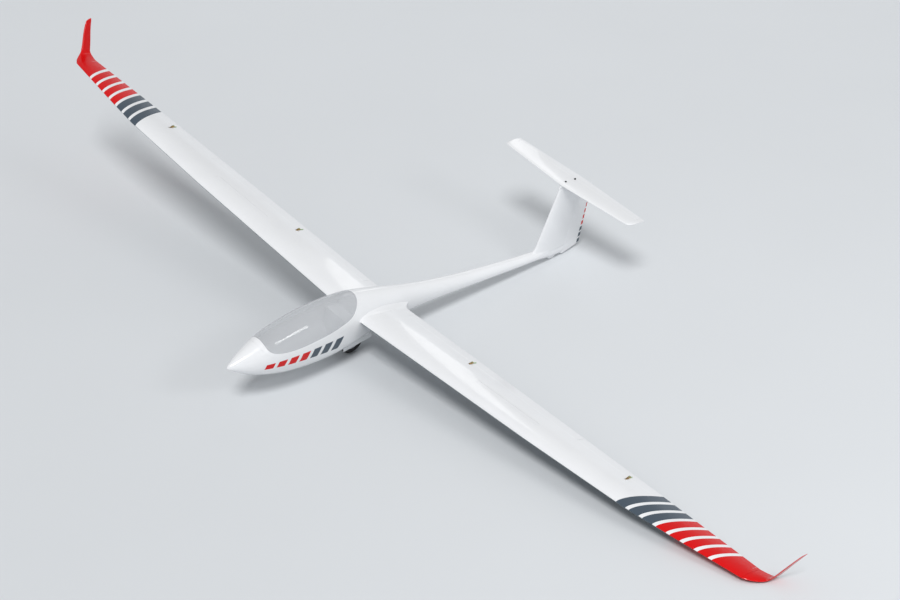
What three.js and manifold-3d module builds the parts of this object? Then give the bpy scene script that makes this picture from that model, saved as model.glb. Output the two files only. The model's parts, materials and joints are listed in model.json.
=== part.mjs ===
// A quarter scale radio controlled sailplane, assembled and parked.
// It is modelled in its own airframe axes (x aft from the nose tip, y to the right wing, z up,
// z = 0 at the height of the nose tip) and then set down on its wheel, tail skid and left wing tip.
// Millimetres throughout.
import * as THREE from 'three';
import { mergeVertices } from 'three/addons/utils/BufferGeometryUtils.js';
import Module from 'manifold-3d';

const wasm = await Module();
wasm.setup();
const { Manifold, Mesh: SolidMesh } = wasm;

// Driving dimensions
const FIT = 0.3; // gap between pieces that touch
const HINGE_GAP = 0.5; // gap between a control surface's round nose and its cove
const END_GAP = 0.8; // gap at each end of a control surface
const SKIN = 2; // moulded glass fibre skin of the fuselage
const PARKED = { noseUp: 3.9294, bank: 8.0618, x: -865.302, y: 28.078, z: 177.869 };

// Fuselage stations: x, top z, bottom z, half width
const HULL = [
  [0, 1.5, -1.5, 1.5],
  [5, 8, -6.5, 7],
  [18, 17, -14, 15],
  [44, 32, -28, 29],
  [84, 53, -47.5, 46],
  [132, 77, -64, 60],
  [190, 97, -79, 71],
  [260, 113.5, -89.5, 78.5],
  [350, 128.5, -94.8, 82],
  [445, 133, -90.5, 81.5],
  [512, 131, -79.5, 77.5],
  [578, 120, -67, 69.5],
  [645, 105.5, -56, 59.5],
  [711, 90.3, -47.5, 50.5],
  [777, 74, -42, 43],
  [876, 53, -37.5, 36],
  [1008, 31, -37.4, 31.5],
  [1184, 10, -41.8, 26.5],
  [1360, -5.5, -47.3, 22],
  [1492, -13.5, -50.6, 18],
  [1540, -16, -57, 15.5],
  [1585, -18.5, -59.5, 12.5],
  [1640, -22, -58, 8.5],
];
const ARC_STEPS = 6; // steps round the nose of a control surface and its cove
const HULL_SIDES = 28; // points round a fuselage section
const WIDEST = 0.47; // height of the widest line, as a share of the section's height

// Side view of the canopy: x, z down the front, along the sill and up the rear
const CANOPY_SEAM = [
  [110, 66], [123, 46], [145, 29.7], [182.6, 22], [244, 21.6], [300.7, 24.6], [356.4, 31],
  [410, 38.5], [449.5, 48], [479, 57], [504, 72], [523.6, 91.5], [538.6, 108], [553.5, 123],
];
const GLASS_EDGE = [
  [127.8, 72.8], [134, 55], [148.3, 44.2], [170.5, 37.6], [207.7, 34.5], [263.6, 37], [319.2, 43.1],
  [375.1, 50.6], [430.8, 61.8], [486.6, 78.5], [512.6, 99], [536.8, 126],
];
const COCKPIT = { front: 52, rear: 490, ledgeRear: 540, ledgeZ: 36 };

// Wing panel stations: s along the span, leading edge aft, chord, thickness ratio
const WING = [
  [0, 0, 225.5, 0.135],
  [300, 1.9, 214.8, 0.134],
  [587, 3.7, 204.5, 0.132],
  [825, 5.3, 195, 0.13],
  [1265, 17.2, 167.2, 0.125],
  [1441, 36.3, 139.7, 0.12],
  [1716, 71.5, 91, 0.115],
];
// Root fairing: y, how far it stands out fore and aft, how much thicker it is than the root rib
const FAIRING = [[80, 0, 1], [72, 2, 1.04], [62, 9, 1.2], [50, 24, 1.5], [30, 60, 2]];
const WING_ROOT = { x: 520, y: 80, z: 51.5, incidence: 5.87, dihedral: 3 };
const CAMBER = 0.026;
const CAMBER_AT = 0.42;
const TRAILING_EDGE = 1.1; // thickness of a trailing edge
const CHORD_STEPS = [0, 0.012, 0.05, 0.12, 0.24, 0.4, 0.56, 0.72, 0.87, 1];

// Wing control surfaces: first and last span station with the hinge line's distance aft there
// coveEnd is where the cove's arc ends below: the flap swings down 45 degrees and needs its lip cut back
const FLAP = { from: 45, to: 921, hingeFrom: 182.6, hingeTo: 153.6, coveEnd: 225 };
const AILERON = { from: 922, to: 1703, hingeFrom: 153.6, hingeTo: 137.5, coveEnd: 270 };
const AIRBRAKE = { from: 502, to: 801, chordAt: 0.415, capWidth: 17.6, capThick: 1.6 };
const BLADE = { thick: 1.5, height: 17, clearance: 0.6 };

// Winglet sections: d along its curved span, leading edge aft, chord, cant angle
const WINGLET = [
  [0.7, 71.5, 91, 3],
  [24, 87.5, 79.8, 5],
  [44, 108, 63.3, 14],
  [54, 120.5, 52.8, 32],
  [64, 131, 44.5, 54],
  [76, 137, 42.5, 66],
  [181, 183.5, 25, 66],
  [187, 193.5, 16, 66],
  [191, 205, 5, 66],
];
const WINGLET_THICK = 0.105; // thickness ratio of its section

// Tailplane stations: y from the middle, leading edge aft, chord
const TAIL = [
  [0, 0, 125.4],
  [306, 24.2, 90.2],
  [325, 29, 84],
  [334, 41, 71],
  [337.5, 56, 54],
];
const TAIL_ROOT = { x: 1536, z: 269.3, slope: 2.96, thick: 0.1 };
const ELEVATOR = { halfSpan: 319, hinge: 86.7 };
// Side view of the notch in the fin's head that the elevator swings in
const ELEVATOR_ROOM = [[1616, 300], [1616, 252], [1623, 247], [1662, 231], [1700, 300]];
const TAIL_BOLTS = { front: 28, rear: 79, headRadius: 3.6, foot: 3, top: 9, boreTop: 14 };

// Fin: leading edge line, thickness, and the rudder's hinge line from its foot to its head
const FIN = { lowX: 1463, lowZ: -7.9, highX: 1538.7, highZ: 254.8, thick: 0.105 };
// Fin levels: z, how far the leading edge stands ahead of its line, how much wider the section is
const FIN_LEVELS = [
  [-40, 38, 0], [-12, 15, 0], [-2, 5, 0], [12, 0, 0], [130, 0, 0], [250, 0, 0], [256, 4, 2], [269.3, 4, 2],
];
const RUDDER = {
  foot: new THREE.Vector3(1617.4, 0, -60.5),
  head: new THREE.Vector3(1658.4, 0, 239.7),
  footRadius: 9.5, headRadius: 6.7,
  footChord: 91.5, headChord: 62.5,
  footRise: 31, headDrop: 7,
  lipRelief: 16, // degrees that the cove's lips stand ahead of the hinge line
};

// Main wheel, its leg, well and doors
const WHEEL = { x: 563, z: -93.3, radius: 47.5, width: 30, rim: 29, hubWidth: 24 };
const AXLE = { radius: 4, length: 43, nut: 3 };
const LEG = { thick: 3, gap: 3, pivotZ: -22, pivotX: 596, tube: 6 };
const WELL = { front: 501, rear: 627, halfWidth: 29, top: -4 };
// rebate: how much wider the well is below rebateTop, so that a door can swing outwards
const DOOR = {
  open: 84, thick: 2, hingeFrontZ: -77, hingeRearZ: -50.4, inward: 2.2, rebate: 1.2, rebateTop: -48,
};
const SKID = { x: 1564, z: -47, radius: 25, thick: 9 };

// Servo covers on the underside: name, span station, whether it has a blister
const COVERS = [
  ['flap', 408, true],
  ['airbrake', 472, false],
  ['aileron', 1192, true],
];
const COVER = { span: 46, chord: 48, thick: 1, chordAt: 0.5, blisterHeight: 5.5, blisterWidth: 19 };
// Blister sections: share of the cover's chord ahead of its middle, size as a share of the largest
const BLISTER = [[-0.42, 0.12], [-0.2, 0.42], [0.1, 0.8], [0.28, 1], [0.4, 0.8], [0.46, 0.25]];

// Horns and pushrods: span station of each on the upper side
const LINKS = { flap: 398, aileron: 1166 };
const HORN = { thick: 2, eye: 5.5, front: 2.8, foot: 15, slit: 4 };
const ROD = { radius: 1.3, length: 34, slope: 20, jaw: 1.3, jawGap: 0.8, clevis: 13 };
const PORT_WIDTH = 8.4;
// Side view of the port ahead of the hinge: distance aft of the axis, height over the surface there
const PORT_OUTLINE = [[-2, 4], [-2, -1.5], [-14, -7], [-24, -9.5], [-44, -10.5], [-44, -3], [-22, 4]];

const COLOURS = {
  white: { color: 0xe9eaec, roughness: 0.25, metalness: 0 },
  red: { color: 0xd00408, roughness: 0.25, metalness: 0 },
  slate: { color: 0x55646f, roughness: 0.4, metalness: 0 },
  smoke: { color: 0x9aa1a6, roughness: 0.05, metalness: 0, transparent: true, opacity: 0.45 },
  rubber: { color: 0x1b1b1c, roughness: 0.8, metalness: 0 },
  alloy: { color: 0xb9bcc0, roughness: 0.35, metalness: 1 },
  steel: { color: 0x2a2b2d, roughness: 0.4, metalness: 1 },
  brass: { color: 0xb8965a, roughness: 0.35, metalness: 1 },
  laminate: { color: 0xa9c496, roughness: 0.5, metalness: 0 },
};

const radians = THREE.MathUtils.degToRad;

// Turns a three.js geometry into a solid whose shared corners are merged
function solidOf(geometry) {
  const bare = geometry.clone();
  for (const name of Object.keys(bare.attributes)) {
    if (name !== 'position') bare.deleteAttribute(name);
  }
  const merged = mergeVertices(bare, 1e-4);
  return new Manifold(new SolidMesh({
    numProp: 3,
    vertProperties: new Float32Array(merged.attributes.position.array),
    triVerts: new Uint32Array(merged.index.array),
  }));
}

function geometryOf(solid) {
  const mesh = solid.getMesh();
  const geometry = new THREE.BufferGeometry();
  geometry.setAttribute('position', new THREE.BufferAttribute(mesh.vertProperties, 3));
  geometry.setIndex(new THREE.BufferAttribute(mesh.triVerts, 1));
  geometry.computeVertexNormals();
  return geometry;
}

// A closed body through rings of equal point count; its ends are flat polygons seen along endAxis
function loft(rings, endAxis = 'y') {
  const count = rings[0].length;
  const points = rings.flat();
  const index = [];
  for (let ring = 0; ring < rings.length - 1; ring += 1) {
    for (let i = 0; i < count; i += 1) {
      const next = (i + 1) % count;
      const a = ring * count + i;
      const b = ring * count + next;
      index.push(a, b, a + count, b, b + count, a + count);
    }
  }
  const flat = (p) => {
    if (endAxis === 'x') return new THREE.Vector2(p.y, p.z);
    if (endAxis === 'z') return new THREE.Vector2(p.x, p.y);
    return new THREE.Vector2(p.x, p.z);
  };
  const outline = rings[0].map(flat);
  const last = (rings.length - 1) * count;
  const lastOutline = rings[rings.length - 1].map(flat);
  const clockwise = THREE.ShapeUtils.isClockWise(outline);
  for (const [a, b, c] of THREE.ShapeUtils.triangulateShape(outline, [])) {
    const turned = isTurned(outline, a, b, c) === clockwise;
    index.push(...(turned ? [a, c, b] : [a, b, c]));
  }
  for (const [a, b, c] of THREE.ShapeUtils.triangulateShape(lastOutline, [])) {
    const turned = isTurned(lastOutline, a, b, c) === clockwise;
    index.push(...(turned ? [last + a, last + b, last + c] : [last + a, last + c, last + b]));
  }
  const geometry = new THREE.BufferGeometry();
  const position = new Float32Array(points.flatMap((p) => [p.x, p.y, p.z]));
  geometry.setAttribute('position', new THREE.BufferAttribute(position, 3));
  geometry.setIndex(signedVolume(points, index) < 0 ? index.reverse() : index);
  return solidOf(geometry);
}

// True when the triangle a, b, c of an outline runs clockwise
function isTurned(outline, a, b, c) {
  return THREE.ShapeUtils.isClockWise([outline[a], outline[b], outline[c]]);
}

function signedVolume(points, index) {
  let sum = 0;
  for (let i = 0; i < index.length; i += 3) {
    const [a, b, c] = [points[index[i]], points[index[i + 1]], points[index[i + 2]]];
    sum += a.dot(new THREE.Vector3().crossVectors(b, c));
  }
  return sum;
}

function box(minX, maxX, minY, maxY, minZ, maxZ) {
  const geometry = new THREE.BoxGeometry(maxX - minX, maxY - minY, maxZ - minZ);
  geometry.translate((minX + maxX) / 2, (minY + maxY) / 2, (minZ + maxZ) / 2);
  return solidOf(geometry);
}

// A cylinder between two points
function rod(from, to, radius, sides = 16, endRadius = radius) {
  const span = new THREE.Vector3().subVectors(to, from);
  const geometry = new THREE.CylinderGeometry(endRadius, radius, span.length(), sides);
  const turn = new THREE.Quaternion().setFromUnitVectors(
    new THREE.Vector3(0, 1, 0), span.clone().normalize());
  geometry.applyQuaternion(turn);
  geometry.translate((from.x + to.x) / 2, (from.y + to.y) / 2, (from.z + to.z) / 2);
  return solidOf(geometry);
}

// An outline in side view, carried sideways from minY to maxY
function sidePrism(outline, minY, maxY) {
  const rings = [minY, maxY].map((y) => outline.map(([x, z]) => new THREE.Vector3(x, y, z)));
  return loft(rings);
}

// A value from a table's column at a position along its first column
function fromTable(table, at, column) {
  let row = 0;
  while (row < table.length - 2 && at > table[row + 1][0]) row += 1;
  const [low, high] = [table[row], table[row + 1]];
  const share = (at - low[0]) / (high[0] - low[0]);
  return low[column] + share * (high[column] - low[column]);
}

// Half thickness of the wing section at chord share c
function halfThickness(c, ratio) {
  const shape = 0.2969 * Math.sqrt(c) - 0.126 * c - 0.3516 * c ** 2 + 0.2843 * c ** 3 - 0.1036 * c ** 4;
  return 5 * ratio * shape;
}

function camber(c) {
  if (c < CAMBER_AT) return CAMBER / CAMBER_AT ** 2 * (2 * CAMBER_AT * c - c * c);
  return CAMBER / (1 - CAMBER_AT) ** 2 * (1 - 2 * CAMBER_AT + 2 * CAMBER_AT * c - c * c);
}

// Fuselage section: a little fuller than an ellipse, more so below the widest line
function hullRing([x, top, bottom, halfWidth], inset = 0) {
  const ring = [];
  const high = top - inset;
  const low = bottom + inset;
  const wide = Math.max(halfWidth - inset, 0.4);
  const middle = low + WIDEST * (high - low);
  for (let i = 0; i < HULL_SIDES; i += 1) {
    const angle = 2 * Math.PI * i / HULL_SIDES;
    const [across, up] = [Math.cos(angle), Math.sin(angle)];
    const squareness = up > 0 ? 0.97 : 0.9;
    const y = Math.sign(across) * wide * Math.abs(across) ** squareness;
    const reach = up > 0 ? high - middle : middle - low;
    const z = middle + Math.sign(up) * reach * Math.abs(up) ** squareness;
    ring.push(new THREE.Vector3(x, y, z));
  }
  return ring;
}

function hull(inset = 0) {
  const rows = HULL.filter((row) => Math.min(row[1] - row[2], 2 * row[3]) > 2.5 * inset);
  return loft(rows.map((row) => hullRing(row, inset)), 'x');
}

// A smooth curve through the points of a side view edge, moved inwards, closed off above the fuselage
function edgeOutline(edge, inset = 0) {
  const curve = new THREE.CatmullRomCurve3(edge.map(([x, z]) => new THREE.Vector3(x, 0, z)));
  const steps = 28;
  const points = [];
  for (let i = 0; i <= steps; i += 1) {
    const { x, z } = curve.getPoint(i / steps);
    const along = curve.getTangent(i / steps);
    points.push([x - along.z * inset, z + along.x * inset]);
  }
  const sky = 220;
  return [[points[0][0], sky], ...points, [points[steps][0], sky]];
}

// A point on the wing: s along the span, c along the chord, level 1 for the upper side, -1 below
function wingPoint(side, s, c, level, lift = 0) {
  const chord = fromTable(WING, s, 2);
  const along = c * chord;
  const half = halfThickness(c, fromTable(WING, s, 3)) * chord + TRAILING_EDGE / 2 * c;
  const up = camber(c) * chord + level * half + lift;
  return wingPlace(side, s, fromTable(WING, s, 1) + along, up);
}

// Places a distance aft of the root's leading edge and a height over the chord line
function wingPlace(side, s, aft, up) {
  const turn = radians(WING_ROOT.incidence);
  const rise = radians(WING_ROOT.dihedral);
  return new THREE.Vector3(
    WING_ROOT.x + aft * Math.cos(turn) + up * Math.sin(turn),
    side * (WING_ROOT.y + s * Math.cos(rise)),
    WING_ROOT.z + s * Math.sin(rise) - aft * Math.sin(turn) + up * Math.cos(turn));
}

// Share of the chord at a distance aft of the root's leading edge
function chordShare(s, aft) {
  return (aft - fromTable(WING, s, 1)) / fromTable(WING, s, 2);
}

function hingeAft(surface, s) {
  const share = (s - surface.from) / (surface.to - surface.from);
  return surface.hingeFrom + share * (surface.hingeTo - surface.hingeFrom);
}

// Height of the hinge axis over the chord line, and the radius of the round nose about it
function hingeSize(surface, s) {
  const c = chordShare(s, hingeAft(surface, s));
  const chord = fromTable(WING, s, 2);
  const half = halfThickness(c, fromTable(WING, s, 3)) * chord + TRAILING_EDGE / 2 * c;
  return { c, up: camber(c) * chord, radius: half };
}

function spansBetween(from, to) {
  const inner = WING.map((row) => row[0]).filter((s) => s > from && s < to);
  return [from, ...inner, to];
}

function wingBody(side) {
  const rings = [FIT, ...WING.map((row) => row[0]).slice(1)].map((s) => {
    const upper = CHORD_STEPS.map((c) => wingPoint(side, s, c, 1));
    const lower = CHORD_STEPS.slice(1).reverse().map((c) => wingPoint(side, s, c, -1));
    return [...upper, ...lower];
  });
  return loft(rings);
}

// The space a control surface needs: a round cove ahead of its hinge and everything behind it
function coveCutter(side, surface) {
  const ends = spansBetween(surface.from, surface.to);
  const rings = [surface.from - END_GAP, ...ends.slice(1, -1), surface.to + END_GAP].map((s) => {
    const inside = Math.min(Math.max(s, surface.from), surface.to);
    const { up, radius } = hingeSize(surface, inside);
    const aft = hingeAft(surface, s);
    const reach = radius + HINGE_GAP;
    const last = radians(surface.coveEnd);
    const ring = [];
    for (let i = 0; i <= ARC_STEPS; i += 1) {
      const angle = Math.PI / 2 + (last - Math.PI / 2) * i / ARC_STEPS;
      ring.push(wingPlace(side, s, aft + reach * Math.cos(angle), up + reach * Math.sin(angle)));
    }
    ring.push(wingPlace(side, s, aft + reach * Math.cos(last), up - 30));
    ring.push(wingPlace(side, s, aft + 60, up - 30));
    ring.push(wingPlace(side, s, aft + 60, up + 30));
    ring.push(wingPlace(side, s, aft, up + 30));
    return ring;
  });
  return loft(rings);
}

// A flap or aileron: round nose about its hinge axis, then the wing's own section to the rear edge
function controlSurface(side, surface) {
  const { from, to } = surface;
  const rings = spansBetween(from, to).map((s) => {
    const { c, up, radius } = hingeSize(surface, s);
    const aft = hingeAft(surface, s);
    const ring = [];
    for (let i = 0; i <= ARC_STEPS; i += 1) {
      const angle = 1.5 * Math.PI - Math.PI * i / ARC_STEPS;
      ring.push(wingPlace(side, s, aft + radius * Math.cos(angle), up + radius * Math.sin(angle)));
    }
    const steps = [0.01, 0.35, 1].map((share) => c + share * (1 - c));
    ring.push(...steps.map((step) => wingPoint(side, s, step, 1)));
    ring.push(...steps.reverse().map((step) => wingPoint(side, s, step, -1)));
    return ring;
  });
  return loft(rings);
}

// The airbrake's box, cap and blades stand on the upper side at a fixed share of the chord
function airbrakeAxis(side, s, depth, offset) {
  const aft = fromTable(WING, s, 1) + AIRBRAKE.chordAt * fromTable(WING, s, 2) + offset;
  const c = chordShare(s, aft);
  const chord = fromTable(WING, s, 2);
  const half = halfThickness(c, fromTable(WING, s, 3)) * chord;
  return wingPlace(side, s, aft, camber(c) * chord + half - depth);
}

function airbrakeBar(side, from, to, top, bottom, front, rear) {
  const rings = [from, to].map((s) => [
    airbrakeAxis(side, s, top, front),
    airbrakeAxis(side, s, top, (front + rear) / 2),
    airbrakeAxis(side, s, top, rear),
    airbrakeAxis(side, s, bottom, rear),
    airbrakeAxis(side, s, bottom, front),
  ]);
  return loft(rings);
}

function airbrakeParts(side) {
  const { from, to, capWidth, capThick } = AIRBRAKE;
  const { thick, height, clearance } = BLADE;
  const half = capWidth / 2;
  const slot = thick + 1.5 * clearance;
  const capRecess = airbrakeBar(side, from, to, -4, capThick + FIT, -half, half);
  const well = airbrakeBar(side, from + 6, to - 6, -4, height + capThick + 2, -slot, slot);
  const cap = airbrakeBar(side, from + 0.5, to - 0.5, 0, capThick, -half + 0.5, half - 0.5);
  const foot = capThick - 0.1;
  const upper = airbrakeBar(side, from + 8, to - 8, foot, height, -clearance / 2 - thick, -clearance / 2);
  const low = capThick + clearance;
  const lower = airbrakeBar(side, from + 8, to - 8, low, height, clearance / 2, clearance / 2 + thick);
  return { cutter: capRecess.add(well), upper: cap.add(upper), lower };
}

// A servo cover follows the underside; some have a drop shaped blister over the servo arm
function servoCover(side, station, blister) {
  const chord = fromTable(WING, station, 2);
  const middle = fromTable(WING, station, 1) + COVER.chordAt * chord;
  const spans = [-COVER.span / 2, COVER.span / 2].map((step) => station + step);
  const steps = [-0.5, -0.25, 0, 0.25, 0.5].map((share) => middle + share * COVER.chord);
  const place = (s, aft, lift) => wingPoint(side, s, chordShare(s, aft), -1, lift);
  const rings = spans.map((s) => [
    ...steps.map((aft) => place(s, aft, -FIT)),
    ...[...steps].reverse().map((aft) => place(s, aft, -FIT - COVER.thick)),
  ]);
  const plate = loft(rings);
  if (!blister) return plate;
  const centre = station - COVER.span / 6;
  const dropRings = BLISTER.map(([share, size]) => {
    const aft = middle - share * COVER.chord;
    const ring = [];
    for (let i = 0; i <= ARC_STEPS; i += 1) {
      const angle = Math.PI * i / ARC_STEPS;
      const s = centre + Math.cos(angle) * size * COVER.blisterWidth / 2;
      const deep = Math.sin(angle) * size * COVER.blisterHeight;
      ring.push(place(s, aft, -FIT - COVER.thick / 2 - deep));
    }
    return ring;
  });
  return plate.add(loft(dropRings, 'x'));
}

function wingletBody(side) {
  let y = 0;
  let z = 0;
  let last = 0;
  let before = radians(WINGLET[0][3]);
  const rings = WINGLET.map(([d, leading, chord, cant]) => {
    const angle = radians(cant);
    const mean = (angle + before) / 2;
    y += (d - last) * Math.cos(mean);
    z += (d - last) * Math.sin(mean);
    last = d;
    before = angle;
    const tip = wingPlace(side, WING[WING.length - 1][0], 0, 0);
    const turn = radians(WING_ROOT.incidence);
    const place = (c, level) => {
      const half = halfThickness(c, WINGLET_THICK) * chord + TRAILING_EDGE / 2 * c;
      const up = camber(c) * chord + level * half;
      const aft = leading + c * chord;
      return new THREE.Vector3(
        tip.x + aft * Math.cos(turn) + up * Math.cos(angle) * Math.sin(turn),
        tip.y + side * (y - up * Math.sin(angle)),
        tip.z + z - aft * Math.sin(turn) + up * Math.cos(angle) * Math.cos(turn));
    };
    const steps = CHORD_STEPS.filter((c, i) => i % 2 === 0 || c === 1 || i === 1);
    return [...steps.map((c) => place(c, 1)), ...steps.slice(1).reverse().map((c) => place(c, -1))];
  });
  return loft(rings);
}

// A horn on the upper side of a control surface, as a slit-in plate; its eye leans over the hinge
function hornOutline(lean) {
  return [
    [HORN.front, -HORN.slit], [HORN.foot, -HORN.slit], [HORN.foot, 0.6], [lean + 3.5, HORN.eye + 1],
    [lean + 1.5, HORN.eye + 2.5], [lean - 1.5, HORN.eye + 2.5], [lean - 3.2, HORN.eye + 0.5],
    [HORN.front, 0.8],
  ];
}

// The slit in the control surface that the horn's foot is glued into
function slitOutline() {
  const [front, rear] = [HORN.front - FIT, HORN.foot + FIT];
  return [[front, -HORN.slit - FIT], [rear, -HORN.slit - FIT], [rear, 4], [front, 4]];
}

// Aft distance, height and hinge radius where a link stands
function linkSeat(surface, station) {
  const { up, radius } = hingeSize(surface, station);
  return { aft: hingeAft(surface, station), up, radius };
}

function wingPrism(side, station, seat, outline, halfThick) {
  const rings = [-halfThick, halfThick].map((step) => outline.map(
    ([aft, up]) => wingPlace(side, station + step, seat.aft + aft, seat.up + up)));
  return loft(rings);
}

function linkParts(side, surface, station, lean) {
  const seat = linkSeat(surface, station);
  const raise = ([aft, up]) => [aft, up + seat.radius];
  const horn = wingPrism(side, station, seat, hornOutline(lean).map(raise), HORN.thick / 2);
  const slit = wingPrism(side, station, seat, slitOutline().map(raise), HORN.thick / 2 + FIT);
  const eye = { aft: lean, up: HORN.eye + seat.radius };
  const along = (distance, lift) => {
    const slope = radians(ROD.slope);
    return [
      eye.aft - distance * Math.cos(slope) - lift * Math.sin(slope),
      eye.up - distance * Math.sin(slope) + lift * Math.cos(slope),
    ];
  };
  const jawOutline = [along(-3, -2.2), along(-3, 2.2), along(ROD.clevis, 2.2), along(ROD.clevis, -2.2)];
  const inner = HORN.thick / 2 + ROD.jawGap;
  const outer = inner + ROD.jaw;
  const jaw = (from, to) => loft([from, to].map((step) => jawOutline.map(
    ([aft, up]) => wingPlace(side, station + step, seat.aft + aft, seat.up + up))));
  const blockOutline = [along(9, -2.2), along(9, 2.2), along(ROD.clevis, 2.2), along(ROD.clevis, -2.2)];
  const block = wingPrism(side, station, seat, blockOutline, outer);
  const placed = ([aft, up]) => wingPlace(side, station, seat.aft + aft, seat.up + up);
  const shank = rod(placed(along(ROD.clevis - 1, 0)), placed(along(ROD.length, 0)), ROD.radius, 10);
  const link = jaw(-outer, -inner).add(jaw(inner, outer)).add(block).add(shank);
  const port = wingPrism(side, station, seat, PORT_OUTLINE.map(raise), PORT_WIDTH / 2);
  return { horn, slit, link, port };
}

// Tailplane in its own plane
function tailPoint(y, c, level, grow = 0) {
  const station = Math.abs(y);
  const chord = fromTable(TAIL, station, 2);
  const half = halfThickness(c, TAIL_ROOT.thick) * chord + TRAILING_EDGE / 2 * c + grow;
  return tailPlace(y, fromTable(TAIL, station, 1) + c * chord, level * half);
}

function tailPlace(y, aft, up) {
  const turn = radians(TAIL_ROOT.slope);
  return new THREE.Vector3(
    TAIL_ROOT.x + aft * Math.cos(turn) + up * Math.sin(turn), y,
    TAIL_ROOT.z - aft * Math.sin(turn) + up * Math.cos(turn));
}

function tailBody(grow = 0) {
  const spans = TAIL.map((row) => row[0]);
  const both = [...spans.slice(1).reverse().map((y) => -y), ...spans];
  const rings = both.map((y) => [
    ...CHORD_STEPS.map((c) => tailPoint(y, c, 1, grow)),
    ...CHORD_STEPS.slice(1).reverse().map((c) => tailPoint(y, c, -1, grow)),
  ]);
  return loft(rings);
}

function elevatorSize(y) {
  const chord = fromTable(TAIL, Math.abs(y), 2);
  const c = (ELEVATOR.hinge - fromTable(TAIL, Math.abs(y), 1)) / chord;
  const half = halfThickness(c, TAIL_ROOT.thick) * chord + TRAILING_EDGE / 2 * c;
  return { c, radius: half };
}

function elevatorBody() {
  const { halfSpan, hinge } = ELEVATOR;
  const rings = [-halfSpan, -306, 0, 306, halfSpan].map((y) => {
    const { c, radius } = elevatorSize(y);
    const ring = [];
    for (let i = 0; i <= ARC_STEPS; i += 1) {
      const angle = 1.5 * Math.PI - Math.PI * i / ARC_STEPS;
      ring.push(tailPlace(y, hinge + radius * Math.cos(angle), radius * Math.sin(angle)));
    }
    const steps = [0.01, 0.4, 1].map((share) => c + share * (1 - c));
    ring.push(...steps.map((step) => tailPoint(y, step, 1)));
    ring.push(...steps.reverse().map((step) => tailPoint(y, step, -1)));
    return ring;
  });
  return loft(rings);
}

function elevatorCutter() {
  const { halfSpan, hinge } = ELEVATOR;
  const rings = [-halfSpan - END_GAP, 0, halfSpan + END_GAP].map((y) => {
    const reach = elevatorSize(y).radius + HINGE_GAP;
    const ring = [];
    for (let i = 0; i <= ARC_STEPS; i += 1) {
      const angle = Math.PI / 2 + Math.PI * i / ARC_STEPS;
      ring.push(tailPlace(y, hinge + reach * Math.cos(angle), reach * Math.sin(angle)));
    }
    ring.push(tailPlace(y, hinge, -20), tailPlace(y, hinge + 60, -20));
    ring.push(tailPlace(y, hinge + 60, 20), tailPlace(y, hinge, 20));
    return ring;
  });
  return loft(rings);
}

// A place on the fin and rudder: up along the hinge line, aft of it, and across
function rudderPlace(up, aft, across) {
  const line = new THREE.Vector3().subVectors(RUDDER.head, RUDDER.foot).normalize();
  return new THREE.Vector3(
    RUDDER.foot.x + up * line.x + aft * line.z, across, RUDDER.foot.z + up * line.z - aft * line.x);
}

function rudderRing(up, radius, chord, rise) {
  const ring = [];
  for (let i = 0; i <= ARC_STEPS; i += 1) {
    const angle = 1.5 * Math.PI - Math.PI * i / ARC_STEPS;
    ring.push(rudderPlace(up, radius * Math.cos(angle), radius * Math.sin(angle)));
  }
  const half = TRAILING_EDGE / 2;
  const belly = 0.4;
  ring.push(rudderPlace(up + rise * belly, chord * belly, radius * 0.76));
  ring.push(rudderPlace(up + rise, chord, half), rudderPlace(up + rise, chord, -half));
  ring.push(rudderPlace(up + rise * belly, chord * belly, -radius * 0.76));
  return ring;
}

function rudderBody() {
  const length = RUDDER.head.distanceTo(RUDDER.foot);
  const { footRadius, headRadius, footChord, headChord, footRise, headDrop } = RUDDER;
  return loft([
    rudderRing(0, footRadius, footChord, footRise),
    rudderRing(length, headRadius, headChord, -headDrop),
  ], 'z');
}

// Everything behind the rudder's hinge line, with the round cove for its nose
function rudderCutter() {
  const length = RUDDER.head.distanceTo(RUDDER.foot);
  const taper = (RUDDER.headRadius - RUDDER.footRadius) / length;
  const rings = [-40, length + 60].map((up) => {
    const reach = RUDDER.footRadius + taper * up + HINGE_GAP;
    const relief = radians(RUDDER.lipRelief);
    const ring = [];
    for (let i = 0; i <= ARC_STEPS; i += 1) {
      const angle = Math.PI / 2 + relief + (Math.PI - 2 * relief) * i / ARC_STEPS;
      ring.push(rudderPlace(up, reach * Math.cos(angle), reach * Math.sin(angle)));
    }
    const lip = -reach * Math.sin(relief);
    ring.push(rudderPlace(up, lip, -40), rudderPlace(up, 150, -40));
    ring.push(rudderPlace(up, 150, 40), rudderPlace(up, lip, 40));
    return ring;
  });
  return loft(rings, 'z');
}

function finBody() {
  const slope = (FIN.highX - FIN.lowX) / (FIN.highZ - FIN.lowZ);
  const hingeSlope = (RUDDER.head.x - RUDDER.foot.x) / (RUDDER.head.z - RUDDER.foot.z);
  const rings = FIN_LEVELS.map(([z, ahead, wider]) => {
    const front = FIN.lowX + slope * (z - FIN.lowZ) - ahead;
    const hinge = RUDDER.foot.x + hingeSlope * (z - RUDDER.foot.z);
    const share = (z - RUDDER.foot.z) / (RUDDER.head.z - RUDDER.foot.z);
    const rear = hinge + RUDDER.footChord + share * (RUDDER.headChord - RUDDER.footChord);
    const chord = rear - front;
    const half = (c) => halfThickness(c, FIN.thick) * chord + TRAILING_EDGE / 2 * c + (c > 0 ? wider : 0);
    return [
      ...CHORD_STEPS.map((c) => new THREE.Vector3(front + c * chord, half(c), z)),
      ...CHORD_STEPS.slice(1).reverse().map((c) => new THREE.Vector3(front + c * chord, -half(c), z)),
    ];
  });
  return loft(rings, 'z');
}

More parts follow.
